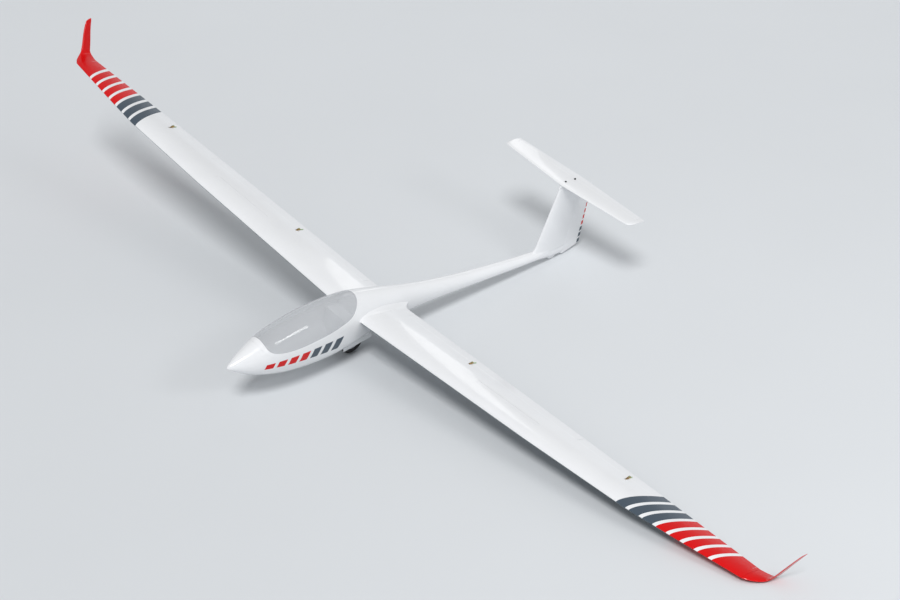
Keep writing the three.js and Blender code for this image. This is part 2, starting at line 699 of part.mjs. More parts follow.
// The wing root fairing widens from the rib face into the fuselage
function fairing(side) {
  const turn = radians(WING_ROOT.incidence);
  const rings = FAIRING.map(([y, flare, swell]) => {
    const chord = WING[0][2] + 2 * flare;
    const place = (c, level) => {
      const aft = c * chord - flare;
      const up = camber(c) * WING[0][2] + level * halfThickness(c, WING[0][3] * swell) * WING[0][2];
      return new THREE.Vector3(
        WING_ROOT.x + aft * Math.cos(turn) + up * Math.sin(turn), side * y,
        WING_ROOT.z - aft * Math.sin(turn) + (up + level * TRAILING_EDGE / 2 * c) * Math.cos(turn));
    };
    return [
      ...CHORD_STEPS.map((c) => place(c, 1)),
      ...CHORD_STEPS.slice(1).reverse().map((c) => place(c, -1)),
    ];
  });
  return loft(rings);
}

function fuselageParts(skidSpace) {
  const outer = hull();
  const seam = sidePrism(edgeOutline(CANOPY_SEAM), -120, 120);
  const glassPrism = sidePrism(edgeOutline(GLASS_EDGE), -120, 120);
  const inner = hull(SKIN);
  const shell = outer.subtract(inner);
  const glass = shell.intersect(glassPrism);
  const { front, rear, ledgeRear, ledgeZ } = COCKPIT;
  const tub = inner.intersect(box(front, rear, -120, 120, -120, 160));
  const ledge = inner.intersect(box(rear - 1, ledgeRear, -120, 120, ledgeZ, 160));
  const wide = WELL.halfWidth + DOOR.rebate;
  const well = box(WELL.front, WELL.rear, -WELL.halfWidth, WELL.halfWidth, -130, WELL.top)
    .add(box(WELL.front, WELL.rear, -wide, wide, -130, DOOR.rebateTop));
  const elevatorRoom = sidePrism(ELEVATOR_ROOM, -30, 30);
  const body = outer.add(fairing(-1)).add(fairing(1)).add(finBody().subtract(elevatorRoom))
    .subtract(tailBody(FIT)).subtract(rudderCutter())
    .subtract(seam).subtract(tub).subtract(ledge).subtract(well).subtract(skidSpace);
  return { body, shell, seam, glassPrism, glass, outer };
}

// A gear door is the belly panel over the well, swung down about its outer edge
function doorParts(outer, side) {
  const inner = hull(DOOR.thick);
  const y = side * WELL.halfWidth;
  const near = side > 0 ? [0.5, WELL.halfWidth - 0.5] : [-WELL.halfWidth + 0.5, -0.5];
  const space = box(WELL.front + 0.8, WELL.rear - 0.8, near[0], near[1], -130, 0);
  const closed = outer.subtract(inner).intersect(space);
  const geometry = geometryOf(closed);
  const frontEnd = new THREE.Vector3(WELL.front, y, DOOR.hingeFrontZ);
  const rearEnd = new THREE.Vector3(WELL.rear, y, DOOR.hingeRearZ);
  const axis = new THREE.Vector3().subVectors(rearEnd, frontEnd).normalize();
  geometry.translate(-frontEnd.x, -frontEnd.y, -frontEnd.z);
  geometry.applyQuaternion(new THREE.Quaternion().setFromAxisAngle(axis, side * radians(DOOR.open)));
  geometry.translate(frontEnd.x, frontEnd.y - side * DOOR.inward, frontEnd.z);
  return solidOf(geometry);
}

function wheelParts() {
  const { x, z, radius, width, rim, hubWidth } = WHEEL;
  const half = width / 2;
  const bore = AXLE.radius + FIT;
  const tyreProfile = [
    [rim, -half * 0.62], [rim + 6, -half * 0.93], [radius - 9, -half], [radius - 3.5, -half * 0.72],
    [radius, -half * 0.28], [radius, half * 0.28], [radius - 3.5, half * 0.72], [radius - 9, half],
    [rim + 6, half * 0.93], [rim, half * 0.62],
  ];
  const hubHalf = hubWidth / 2;
  const hubProfile = [
    [bore, -hubHalf - 2], [9, -hubHalf - 2], [10, -hubHalf + 4], [rim - 5, -hubHalf + 5],
    [rim - 3, -half * 0.62], [rim - FIT, -half * 0.62], [rim - FIT, half * 0.62], [rim - 3, half * 0.62],
    [rim - 5, hubHalf - 5], [10, hubHalf - 4], [9, hubHalf + 2], [bore, hubHalf + 2],
  ];
  const turned = (profile, sides) => {
    const closed = [...profile, profile[0]].map(([r, y]) => new THREE.Vector2(r, y));
    const geometry = new THREE.LatheGeometry(closed, sides);
    geometry.translate(x, 0, z);
    return solidOf(geometry);
  };
  const end = AXLE.length / 2;
  const centre = (y) => new THREE.Vector3(x, y, z);
  const axle = rod(centre(-end), centre(end), AXLE.radius, 16)
    .add(rod(centre(-end - AXLE.nut), centre(-end), 6, 6))
    .add(rod(centre(end), centre(end + AXLE.nut), 6, 6));
  return { tyre: turned(tyreProfile, 40), hub: turned(hubProfile, 32), axle };
}

// The leg is a pair of side plates from a cross tube in the well down to the axle
function legBody() {
  const inner = WHEEL.width / 2 + LEG.gap;
  const { x, z } = WHEEL;
  const plate = (side) => {
    const outline = [
      [x - 9, z - 3], [x - 4, z - 9], [x + 4, z - 9], [x + 9, z - 3],
      [LEG.pivotX + 9, LEG.pivotZ], [LEG.pivotX + 4, LEG.pivotZ + 8], [LEG.pivotX - 4, LEG.pivotZ + 8],
      [LEG.pivotX - 10, LEG.pivotZ],
    ];
    const low = side > 0 ? inner : -inner - LEG.thick;
    return sidePrism(outline, low, low + LEG.thick);
  };
  const bore = rod(new THREE.Vector3(x, -40, z), new THREE.Vector3(x, 40, z), AXLE.radius + FIT, 16);
  const reach = WELL.halfWidth - FIT;
  const tube = rod(
    new THREE.Vector3(LEG.pivotX, -reach, LEG.pivotZ), new THREE.Vector3(LEG.pivotX, reach, LEG.pivotZ),
    LEG.tube, 16);
  return plate(-1).add(plate(1)).subtract(bore).add(tube);
}

function skidDisc(grow = 0) {
  return rod(
    new THREE.Vector3(SKID.x, -SKID.thick / 2 - grow, SKID.z),
    new THREE.Vector3(SKID.x, SKID.thick / 2 + grow, SKID.z), SKID.radius + grow, 40);
}

// A bolt through the tailplane into the fin, as its head's cylinder; its bore is a little wider
function tailBolt(aft, low, high, grow = 0) {
  return rod(tailPlace(0, aft, low), tailPlace(0, aft, high), TAIL_BOLTS.headRadius + grow, 12);
}

const airframe = new THREE.Group();

function add(name, solid, finish) {
  const mesh = new THREE.Mesh(geometryOf(solid), new THREE.MeshStandardMaterial(COLOURS[finish]));
  mesh.name = name;
  airframe.add(mesh);
}

// Fuselage, canopy and tail
const fuselage = fuselageParts(skidDisc(FIT));
add('fuselage', fuselage.body, 'white');
const canopyCut = fuselage.shell.intersect(fuselage.seam);
const lifted = sidePrism(edgeOutline(CANOPY_SEAM, FIT), -120, 120);
add('canopy_frame', canopyCut.intersect(lifted).subtract(fuselage.glassPrism), 'white');
const pane = sidePrism(edgeOutline(GLASS_EDGE, FIT), -120, 120);
add('canopy_glass', fuselage.glass.intersect(pane), 'smoke');
add('tail_skid', skidDisc().subtract(box(1500, 1640, -20, 20, SKID.z, 0)), 'white');
add('rudder', rudderBody(), 'white');
let tailplane = tailBody().subtract(elevatorCutter());
for (const place of ['front', 'rear']) {
  const aft = TAIL_BOLTS[place];
  tailplane = tailplane.subtract(tailBolt(aft, TAIL_BOLTS.foot - FIT, TAIL_BOLTS.boreTop, FIT));
  add(`tailplane_bolt_${place}`, tailBolt(aft, TAIL_BOLTS.foot, TAIL_BOLTS.top), 'steel');
}
add('tailplane', tailplane, 'white');
add('elevator', elevatorBody(), 'white');

// Undercarriage
const wheel = wheelParts();
add('tyre', wheel.tyre, 'rubber');
add('wheel_hub', wheel.hub, 'alloy');
add('axle', wheel.axle, 'steel');
add('gear_leg', legBody(), 'alloy');
add('gear_door_left', doorParts(fuselage.outer, -1), 'white');
add('gear_door_right', doorParts(fuselage.outer, 1), 'white');

// Wings
for (const [side, hand] of [[-1, 'left'], [1, 'right']]) {
  const brake = airbrakeParts(side);
  const flapLink = linkParts(side, FLAP, LINKS.flap, -5);
  const aileronLink = linkParts(side, AILERON, LINKS.aileron, 0);
  const panel = wingBody(side)
    .subtract(coveCutter(side, FLAP)).subtract(coveCutter(side, AILERON))
    .subtract(brake.cutter).subtract(flapLink.port).subtract(aileronLink.port);
  add(`wing_panel_${hand}`, panel, 'white');
  add(`flap_${hand}`, controlSurface(side, FLAP).subtract(flapLink.slit), 'white');
  add(`aileron_${hand}`, controlSurface(side, AILERON).subtract(aileronLink.slit), 'white');
  add(`airbrake_upper_blade_${hand}`, brake.upper, 'white');
  add(`airbrake_lower_blade_${hand}`, brake.lower, 'alloy');
  add(`winglet_${hand}`, wingletBody(side), 'red');
  add(`flap_horn_${hand}`, flapLink.horn, 'laminate');
  add(`flap_pushrod_${hand}`, flapLink.link, 'brass');
  add(`aileron_horn_${hand}`, aileronLink.horn, 'laminate');
  add(`aileron_pushrod_${hand}`, aileronLink.link, 'brass');
  for (const [name, station, blister] of COVERS) {
    add(`${name}_servo_cover_${hand}`, servoCover(side, station, blister), 'slate');
  }
}

// Parked attitude: nose up on wheel and skid, then banked onto the left wing tip
const pitched = new THREE.Group();
pitched.rotation.y = radians(PARKED.noseUp);
pitched.add(airframe);
const banked = new THREE.Group();
banked.rotation.x = radians(PARKED.bank);
banked.add(pitched);
const sailplane = new THREE.Group();
banked.position.set(PARKED.x, PARKED.y, PARKED.z);
sailplane.add(banked);
sailplane.name = 'model_sailplane';

export default sailplane;
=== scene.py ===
"""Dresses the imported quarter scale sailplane: smooth mouldings, paint, fittings, floor, light and camera.

Shapes are worked out in the airframe's own axes, in millimetres: x aft from the nose tip, y to the
right wing, z up. to_row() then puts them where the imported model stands, in metres.
"""
import json

import bmesh
import bpy
import numpy as np
from mathutils import Matrix, Vector


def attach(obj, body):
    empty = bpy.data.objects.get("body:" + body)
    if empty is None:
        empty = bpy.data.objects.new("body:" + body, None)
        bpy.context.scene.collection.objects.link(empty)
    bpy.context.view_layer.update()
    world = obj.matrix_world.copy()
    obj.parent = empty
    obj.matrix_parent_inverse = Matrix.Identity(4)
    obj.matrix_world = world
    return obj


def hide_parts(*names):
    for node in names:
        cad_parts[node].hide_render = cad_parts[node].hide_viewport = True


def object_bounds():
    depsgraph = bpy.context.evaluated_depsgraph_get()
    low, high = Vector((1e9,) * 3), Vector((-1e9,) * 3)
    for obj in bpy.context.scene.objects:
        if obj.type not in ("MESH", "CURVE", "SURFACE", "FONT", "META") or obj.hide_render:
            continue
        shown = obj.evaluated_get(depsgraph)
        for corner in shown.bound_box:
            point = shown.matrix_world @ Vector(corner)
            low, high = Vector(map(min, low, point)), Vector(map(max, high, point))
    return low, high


bl_info = {
    "name": "Model Sailplane Dressing",
    "version": (1, 0, 0),
    "blender": (4, 5, 0),
    "location": "3D View > Sidebar > Sailplane",
    "description": "Smooth mouldings, paint and fittings round a packed model sailplane",
    "category": "Object",
}

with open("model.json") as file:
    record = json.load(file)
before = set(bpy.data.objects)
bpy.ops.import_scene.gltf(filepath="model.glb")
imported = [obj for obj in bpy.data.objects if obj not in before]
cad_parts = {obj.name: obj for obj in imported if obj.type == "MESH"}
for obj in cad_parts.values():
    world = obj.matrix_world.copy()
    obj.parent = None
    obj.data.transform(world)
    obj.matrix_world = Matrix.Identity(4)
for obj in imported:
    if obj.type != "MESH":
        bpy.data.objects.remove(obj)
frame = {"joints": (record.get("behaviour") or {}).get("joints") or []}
CAD_BOX = [list(corner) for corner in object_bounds()]

# The airframe's axes in the row frame, from the wheel's axle and the canopy's way up
JOINTS = {joint["name"]: joint for joint in frame["joints"]}
RIGHT = np.array(JOINTS["main_wheel_spin"]["axis"])
UP = np.array(JOINTS["canopy_lift"]["axis"])
AFT = np.cross(RIGHT, UP)
AXES = np.column_stack([AFT, RIGHT, UP])
MM = 0.001
SIDES = ((-1, "left"), (1, "right"))

# Sizes in millimetres, the same driving dimensions as the part's own source
FIT = 0.3
HINGE_GAP = 0.5
END_GAP = 0.8
SKIN = 2.0
TRAILING_EDGE = 1.1

# Fuselage stations: x, top, bottom, half width
HULL = np.array([
    [0, 1.5, -1.5, 1.5], [5, 8, -6.5, 7], [18, 17, -14, 15], [44, 32, -28, 29],
    [84, 53, -47.5, 46], [132, 77, -64, 60], [190, 97, -79, 71], [260, 113.5, -89.5, 78.5],
    [350, 128.5, -94.8, 82], [445, 133, -90.5, 81.5], [512, 131, -79.5, 77.5], [578, 120, -67, 69.5],
    [645, 105.5, -56, 59.5], [711, 90.3, -47.5, 50.5], [777, 74, -42, 43], [876, 53, -37.5, 36],
    [1008, 31, -37.4, 31.5], [1184, 10, -41.8, 26.5], [1360, -5.5, -47.3, 22],
    [1492, -13.5, -50.6, 18], [1540, -16, -57, 15.5], [1585, -18.5, -59.5, 12.5], [1640, -22, -58, 8.5],
])

# Where the nose ends, how far up its height each section is widest, and the powers of its two halves
NOSE_END = 44
WIDEST = 0.47
POWER_ABOVE, POWER_BELOW = 0.97, 0.9

# Side view of the canopy: x, z down the front, along the sill and up the rear
CANOPY_SEAM = np.array([
    [110, 66], [123, 46], [145, 29.7], [182.6, 22], [244, 21.6], [300.7, 24.6], [356.4, 31],
    [410, 38.5], [449.5, 48], [479, 57], [504, 72], [523.6, 91.5], [538.6, 108], [553.5, 123],
])
GLASS_EDGE = np.array([
    [127.8, 72.8], [134, 55], [148.3, 44.2], [170.5, 37.6], [207.7, 34.5], [263.6, 37], [319.2, 43.1],
    [375.1, 50.6], [430.8, 61.8], [486.6, 78.5], [512.6, 99], [536.8, 126],
])

# Blocks that cut the fuselage reach past its sides by CUT_WIDE and over its back to CUT_HIGH
CUT_WIDE = 120
CUT_HIGH = 220
COCKPIT = {"front": 52, "rear": 490, "ledge_rear": 540, "ledge_z": 36, "under": -120, "over": 160}
WELL = {"front": 501, "rear": 627, "half_width": 29, "top": -4, "under": -130}

# Wing stations: s along the span, leading edge aft, chord, thickness ratio
WING = np.array([
    [0, 0, 225.5, 0.135], [300, 1.9, 214.8, 0.134], [587, 3.7, 204.5, 0.132], [825, 5.3, 195, 0.13],
    [1265, 17.2, 167.2, 0.125], [1441, 36.3, 139.7, 0.12], [1716, 71.5, 91, 0.115],
])
WING_ROOT = {"x": 520, "y": 80, "z": 51.5, "incidence": np.radians(5.87), "dihedral": np.radians(3)}
CAMBER = 0.026
CAMBER_AT = 0.42
FLAP = {"from": 45, "to": 921, "hinge_from": 182.6, "hinge_to": 153.6, "cove_end": np.radians(225)}
AILERON = {"from": 922, "to": 1703, "hinge_from": 153.6, "hinge_to": 137.5, "cove_end": np.radians(270)}
AIRBRAKE = {"from": 502, "to": 801, "chord_at": 0.415, "cap_width": 17.6, "cap_thick": 1.6, "cap_gap": 0.5}
BLADE = {"thick": 1.5, "height": 17, "clearance": 0.6, "end": 8}

# Wing root fairing: y, how far it flares ahead and behind, its thickness over the wing's own
FAIRING = np.array([[30, 60, 2], [50, 24, 1.5], [62, 9, 1.2], [72, 2, 1.04], [80, 0, 1.0]])

# Winglet stations: d along its curved span, leading edge aft, chord, cant angle
WINGLET = np.array([
    [0.7, 71.5, 91, 3], [24, 87.5, 79.8, 5], [44, 108, 63.3, 14], [54, 120.5, 52.8, 32], [64, 131, 44.5, 54],
    [76, 137, 42.5, 66], [181, 183.5, 25, 66], [187, 193.5, 16, 66], [191, 205, 5, 66],
])
WINGLET_THICK = 0.105
WINGLET_SPANS = ((0.7, 80, 34), (80, 181, 11), (181, 191, 8))

# Tailplane stations: y from the middle, leading edge aft, chord
TAIL = np.array([[0, 0, 125.4], [306, 24.2, 90.2], [325, 29, 84], [334, 41, 71], [337.5, 56, 54]])
TAIL_ROOT = {"x": 1536, "z": 269.3, "slope": np.radians(2.96), "thick": 0.1}
ELEVATOR = {"half_span": 319, "hinge": 86.7}
ELEVATOR_ROOM = [(1616, 300), (1616, 252), (1623, 247), (1662, 231), (1700, 300)]
TAIL_BOLTS = {"front": 28, "rear": 79, "radius": 3.6, "foot": 3, "top": 9, "hole_top": 14.0}
FIN = {
    "low_x": 1463, "low_z": -7.9, "high_x": 1538.7, "high_z": 254.8, "thick": 0.105,
    "sunk_z": -40, "sunk_rise": 20, "blend_z": 14, "blend_ahead": 38, "blend_inside": 0.15,
    "blend_power": 5, "seat_z": 249, "seat_rise": 7, "seat_ahead": 4, "seat_swell": 2, "nose_steps": 12,
}
RUDDER = {
    "foot": np.array([1617.4, 0, -60.5]), "head": np.array([1658.4, 0, 239.7]),
    "foot_radius": 9.5, "head_radius": 6.7, "foot_chord": 91.5, "head_chord": 62.5,
    "foot_rise": 31, "head_drop": 7, "lip_relief": np.radians(16),
}
SKID = {"x": 1564, "z": -47, "radius": 25, "thick": 9, "rounding": 2.5}

WHEEL = {"x": 563, "z": -93.3, "radius": 47.5, "width": 30, "rim": 29, "hub_width": 24, "bead": 0.62}
GROOVES = {"across": (-5.5, 0, 5.5), "half_width": 0.55, "depth": 1.1, "tread": 6}
HUB_HOLES = {"count": 6, "circle": 17, "radius": 3.6}
AXLE = {"radius": 4, "length": 43, "nut": 3, "nut_radius": 6}
LEG = {"thick": 3, "gap": 3, "pivot_x": 596, "pivot_z": -22, "tube": 6, "foot_radius": 9.0,
       "head_radius": 8.5, "slot_from": 0.3, "slot_to": 0.72, "slot_radius": 3.4}
DOOR = {"open": np.radians(84), "thick": 2, "front_z": -77, "rear_z": -50.4, "inward": 2.2,
        "rebate": 1.2, "rebate_top": -48, "gap": 0.5, "end_gap": 0.8}

COVERS = [("flap", 408, True), ("airbrake", 472, False), ("aileron", 1192, True)]
COVER = {"span": 46, "chord": 48, "thick": 1, "chord_at": 0.5, "corner": 14.0, "edge": 60}
DROP = {"height": 5.5, "width": 19, "ahead": 0.46, "length": 0.88, "scale": 1.9}
LINKS = {"flap": (FLAP, 398, -5), "aileron": (AILERON, 1166, 0)}
HORN = {"thick": 2, "eye": 5.5, "front": 2.8, "foot": 15, "slit": 4, "head": 3.1}
ROD = {"radius": 1.3, "length": 34, "slope": np.radians(20), "jaw": 1.3, "jaw_gap": 0.8, "clevis": 13,
       "half_height": 2.2, "bridge": 9}
PORT_WIDTH = 8.4
PORT_OUTLINE = np.array([(-2, 4), (-2, -1.5), (-14, -7), (-24, -9.5), (-44, -10.5), (-44, -3), (-22, 4)])

# The stripes on the fuselage and on the wing start with this many red ones; the rest are grey
RED_BLOCKS = 4

# Fuselage stripes, for the blocks' top and bottom edges: the first corner's x, the pitch and its
# growth from block to block, that corner's z and the edge's slope; then how much narrower the bottom is
SIDE_TOP = (125.9, 46.6, 0.23, 3.4, 0.0592)
SIDE_LOW = (119.2, 44.6, 0.21, -15.9, -0.0289)
SIDE_TAPER = 1.5

# Wing bands: span stations at the leading and the trailing edge of the red tip's inner edge above and
# below, of the first band's outer edge and of the step to the next
TIP_ABOVE = (1604.5, 1642.1)
TIP_BELOW = (1430, 1467.4)
BAND_FIRST = (1590.0, 1626.2)
BAND_PITCH = (53.2, 50.1)
BAND_REAR_WIDTH = 35.1
OUTBOARD = (WING[-1, 0] + 90, WING[-1, 0] + 90)
INBOARD = (-60, -60)

# Rudder blocks: along and ahead of the rear edge
RUDDER_BLOCKS = {"start": 1.5, "pitch": 26.7, "width": 19.0, "slant": 0.28, "outside": 4.0, "grey": 3}
BLOCK_DEPTHS = np.concatenate([[13.9, 13.5, 13.0], np.linspace(11.2, 1.4, 7)])

ORIGIN = np.array(JOINTS["main_wheel_spin"]["pos_m"]) - AXES @ (np.array([WHEEL["x"], 0, WHEEL["z"]]) * MM)


def to_row(points):
    """Airframe millimetres to the row frame's metres: the axes' turn, then the nose tip's place."""
    return points * MM @ AXES.T + ORIGIN


def linear(text):
    """An sRGB hex colour as linear light, by the sRGB curve."""
    value = np.array([int(text[i:i + 2], 16) / 255 for i in (0, 2, 4)])
    low = value / 12.92
    high = ((value + 0.055) / 1.055) ** 2.4
    return tuple(np.where(value <= 0.04045, low, high))


# Meshes

def ring_quads(rows, count, sides):
    """Point numbers of the quads between neighbouring rings of points; the last ring's neighbour is
    the first one."""
    row, column = np.arange(rows)[:, None], np.arange(sides)[None, :]
    after, below = (column + 1) % sides, (row + 1) % count
    corners = [row * sides + column, row * sides + after, below * sides + after, below * sides + column]
    return np.stack(corners, axis=-1).reshape(-1, 4)


def loft(rings, closed_ring=False):
    """A closed body through rings of equal count, shaped (ring, point, 3), in airframe millimetres and
    with its faces turned outwards: quads between neighbouring rings, and one flat polygon over each
    end, or quads back to the first ring."""
    rings = np.asarray(rings, float)
    count, sides = rings.shape[:2]
    faces = ring_quads(count if closed_ring else count - 1, count, sides).tolist()
    if not closed_ring:
        faces.append(list(range(sides))[::-1])
        faces.append(list(range((count - 1) * sides, count * sides)))
    mesh = bpy.data.meshes.new("body")
    mesh.from_pydata(rings.reshape(-1, 3).tolist(), [], faces)
    work = bmesh.new()
    work.from_mesh(mesh)
    bmesh.ops.recalc_face_normals(work, faces=work.faces)
    work.to_mesh(mesh)
    work.free()
    return in_scene(mesh)


def in_scene(data):
    """A mesh, a lamp or a camera as an object of the scene."""
    shown = bpy.data.objects.new(data.name, data)
    bpy.context.scene.collection.objects.link(shown)
    return shown


def copy_of(body):
    """A second body of the same shape."""
    return in_scene(body.data.copy())


def box(low, high):
    """A block between two corners."""
    low, high = np.array(low, float), np.array(high, float)
    base = np.array([[0, 0], [1, 0], [1, 1], [0, 1]])
    rings = [np.column_stack([base, np.full(4, level)]) * (high - low) + low for level in (0, 1)]
    return loft(rings)


def side_prism(outline, low_y=-CUT_WIDE, high_y=CUT_WIDE):
    """An outline in side view, carried sideways."""
    outline = np.asarray(outline, float)
    rings = [np.column_stack([outline[:, 0], np.full(len(outline), y), outline[:, 1]])
             for y in (low_y, high_y)]
    return loft(rings)


def turned(profile, start, end, sides=64):
    """A lathe body's rings. The profile's columns are distance from start towards end and radius; a
    ring of points at each row stands square to the line between them."""
    start, end = np.array(start, float), np.array(end, float)
    along = (end - start) / np.linalg.norm(end - start)
    helper = np.array([0, 0, 1]) if abs(along[2]) < 0.9 else np.array([1, 0, 0])
    across = np.cross(along, helper)
    across /= np.linalg.norm(across)
    third = np.cross(along, across)
    angle = np.linspace(0, 2 * np.pi, sides, endpoint=False)[None, :, None]
    profile = np.asarray(profile, float)
    reach = profile[:, 1][:, None, None]
    circle = np.cos(angle) * across + np.sin(angle) * third
    return start + profile[:, 0][:, None, None] * along + reach * circle


def rod(start, end, radius, sides=24):
    """A plain round bar between two points."""
    length = np.linalg.norm(np.subtract(end, start))
    return loft(turned([(0, radius), (length, radius)], start, end, sides))


def cross_line(x, z, first, last):
    """The two ends of a line across the aircraft."""
    return (x, first, z), (x, last, z)


def both_sides(half):
    """A profile's first half and then its mirror image: the rows backwards, the first column's sign
    turned."""
    return np.vstack([half, half[::-1] * [-1, 1]])


def arc(start, end, count):
    """Cosines and sines of evenly spaced angles, each as one row."""
    angle = np.linspace(start, end, count)[None, :]
    return np.cos(angle), np.sin(angle)


def settle(body):
    """Makes what a body's modifier shows its mesh."""
    result = bpy.data.meshes.new_from_object(
        body.evaluated_get(bpy.context.evaluated_depsgraph_get()))
    if not result.polygons:
        raise RuntimeError(f"{body.modifiers[0].name} left nothing")
    body.modifiers.clear()
    spent = body.data
    body.data = result
    bpy.data.meshes.remove(spent)


def combine(body, operation, *tools):
    """Joins or cuts a closed body with others in turn, which are then dropped."""
    for tool in tools:
        modifier = body.modifiers.new(operation, "BOOLEAN")
        modifier.operation = operation
        modifier.solver = "MANIFOLD"
        modifier.object = tool
        settle(body)
        bpy.data.objects.remove(tool)
    return body


def bevel(body, width):
    """Rounds a body's sharp edges."""
    modifier = body.modifiers.new("edge", "BEVEL")
    modifier.width = width
    modifier.segments = 2
    modifier.limit_method = "ANGLE"
    modifier.angle_limit = np.radians(35)
    modifier.use_clamp_overlap = True
    settle(body)
    return body


def columns_of(items, key):
    """A vector that each of a mesh's points or faces has, as rows of an array."""
    values = np.empty(len(items) * 3)
    items.foreach_get(key, values)
    return values.reshape(-1, 3)


def finish_piece(body, name, rides, replaced, slot):
    """Puts a body in the row frame, smooths edges under 30 degrees, gives it the slot's finish unless
    it is painted, attaches it to the body that it rides on and hides the imported part that it stands for."""
    mesh = body.data
    mesh.vertices.foreach_set("co", to_row(columns_of(mesh.vertices, "co")).ravel())
    mesh.shade_smooth()
    mesh.set_sharp_from_angle(angle=np.radians(30))
    mesh.name = name
    body.name = name
    if not any(mesh.materials):
        mesh.materials.clear()
        mesh.materials.append(FINISHES[slot])
    mesh.update()
    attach(body, rides)
    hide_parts(replaced)


# Paint

def paint(body, axes, origin, patches):
    """Cuts a body's faces along the edges of patches and gives the faces inside each its finish. The
    three columns of axes are the two directions that the patches are drawn in and the one that they
    are seen along. A patch is a number in PAINTS, an outline, and a test of face centres, normals and
    places in the drawing that keeps it to one side."""
    inverse = np.linalg.inv(axes)
    work = bmesh.new()
    work.from_mesh(body.data)
    work.transform(Matrix(inverse.tolist()).to_4x4() @ Matrix.Translation(Vector(-origin)))
    for _, outline, _ in patches:
        low, high = outline.min(0), outline.max(0)
        near = [face for face in work.faces if overlaps(face, low, high)]
        for start, end in zip(outline, np.roll(outline, -1, axis=0)):
            edges = {edge for face in near for edge in face.edges}
            points = {point for face in near for point in face.verts}
            cut = bmesh.ops.bisect_plane(
                work, geom=[*near, *edges, *points], dist=1e-4,
                plane_co=(*start, 0), plane_no=(start[1] - end[1], end[0] - start[0], 0))
            near = [item for item in cut["geom"] if isinstance(item, bmesh.types.BMFace)]
    work.transform(Matrix.Translation(Vector(origin)) @ Matrix(axes.tolist()).to_4x4())
    work.to_mesh(body.data)
    work.free()
    faces = body.data.polygons
    centres, normals = columns_of(faces, "center"), columns_of(faces, "normal")
    places = (centres - origin) @ inverse.T
    finish = np.zeros(len(centres), np.int32)
    for number, outline, test in patches:
        inside = test(centres, normals, places)
        turn = np.sign(signed_area(outline))
        for start, end in zip(outline, np.roll(outline, -1, axis=0)):
            along = end - start
            offset = places[:, :2] - start
            inside &= turn * (along[0] * offset[:, 1] - along[1] * offset[:, 0]) >= 0
        finish[inside] = number
    body.data.materials.clear()
    for slot in PAINTS:
        body.data.materials.append(FINISHES[slot])
    faces.foreach_set("material_index", finish)


def overlaps(face, low, high):
    """Whether a face's box in the drawing meets the box between two corners."""
    across = [point.co.x for point in face.verts]
    along = [point.co.y for point in face.verts]
    return max(across) > low[0] and min(across) < high[0] and max(along) > low[1] and min(along) < high[1]


def signed_area(outline):
    """An outline's area, below zero where it runs clockwise: half the sum of the cross products of
    neighbouring corners."""
    after = np.roll(outline, -1, axis=0)
    return np.sum(outline[:, 0] * after[:, 1] - after[:, 0] * outline[:, 1]) / 2


# Curves and sections

def smooth(table, at, steady=False):
    """A table's columns at positions along its first one: on each stretch a cubic whose end slopes
    are those of the parabola through a row and its two neighbours. A steady curve takes the harmonic
    mean of the two slopes instead, and none where they differ in sign, so it never swings past a row."""
    x, y = table[:, 0], table[:, 1:]
    step = np.diff(x)[:, None]
    slope = np.diff(y, axis=0) / step
    before, after = slope[:-1], slope[1:]
    if steady:
        product = before * after
        total = np.where(product > 0, before + after, 1)
        middle = np.where(product > 0, 2 * product / total, 0)
    else:
        middle = (before * step[1:] + after * step[:-1]) / (step[:-1] + step[1:])
    tangent = np.vstack([slope[:1], middle, slope[-1:]])
    row = np.clip(np.searchsorted(x, at, side="right") - 1, 0, len(x) - 2)
    t = ((at - x[row]) / step[row, 0])[:, None]
    return (
        (2 * t**3 - 3 * t**2 + 1) * y[row] + (t**3 - 2 * t**2 + t) * step[row] * tangent[row]
        + (3 * t**2 - 2 * t**3) * y[row + 1] + (t**3 - t**2) * step[row] * tangent[row + 1])


def hull_rings(stations, inset=0.0, sides=112):
    """Fuselage sections: each quarter is a power of cosine and sine, fuller below the widest line."""
    top, bottom, half = smooth(HULL, stations).T
    high, low = top - inset, bottom + inset
    wide = np.maximum(half - inset, 0.4)[:, None]
    middle = (low + WIDEST * (high - low))[:, None]
    angle = 2 * np.pi * np.arange(sides) / sides
    across, up = np.cos(angle), np.sin(angle)
    power = np.where(up > 0, POWER_ABOVE, POWER_BELOW)
    y = wide * np.sign(across) * np.abs(across) ** power
    reach = np.where(up > 0, high[:, None] - middle, middle - low[:, None])
    z = middle + reach * np.sign(up) * np.abs(up) ** power
    return np.stack([np.broadcast_to(stations[:, None], y.shape), y, z], axis=-1)


def hull_width(x, z):
    """Half the fuselage's width at a height, from the same powers; none above its top."""
    top, bottom, half = smooth(HULL, np.clip(x, 0, HULL[-1, 0]).ravel()).T.reshape(3, *x.shape)
    middle = bottom + WIDEST * (top - bottom)
    reach = np.where(z > middle, top - middle, middle - bottom)
    power = np.where(z > middle, POWER_ABOVE, POWER_BELOW)
    up = np.clip(np.abs(z - middle) / reach, 0, 1) ** (1 / power)
    return half * np.sqrt(1 - up**2) ** power


def hull(inset=0.0):
    """The fuselage moulding, with stations closest together at the nose: a power of an even step. An
    inner skin starts where the nose is deep enough to hold it."""
    nose = NOSE_END * np.linspace(0, 1, 14) ** 1.6
    stations = np.concatenate([nose[:-1], np.linspace(NOSE_END, HULL[-1, 0], 170)])
    if inset:
        top, bottom, half = smooth(HULL, stations).T
        stations = stations[np.minimum(top - bottom, 2 * half) > 2.5 * inset]
    return loft(hull_rings(stations, inset))


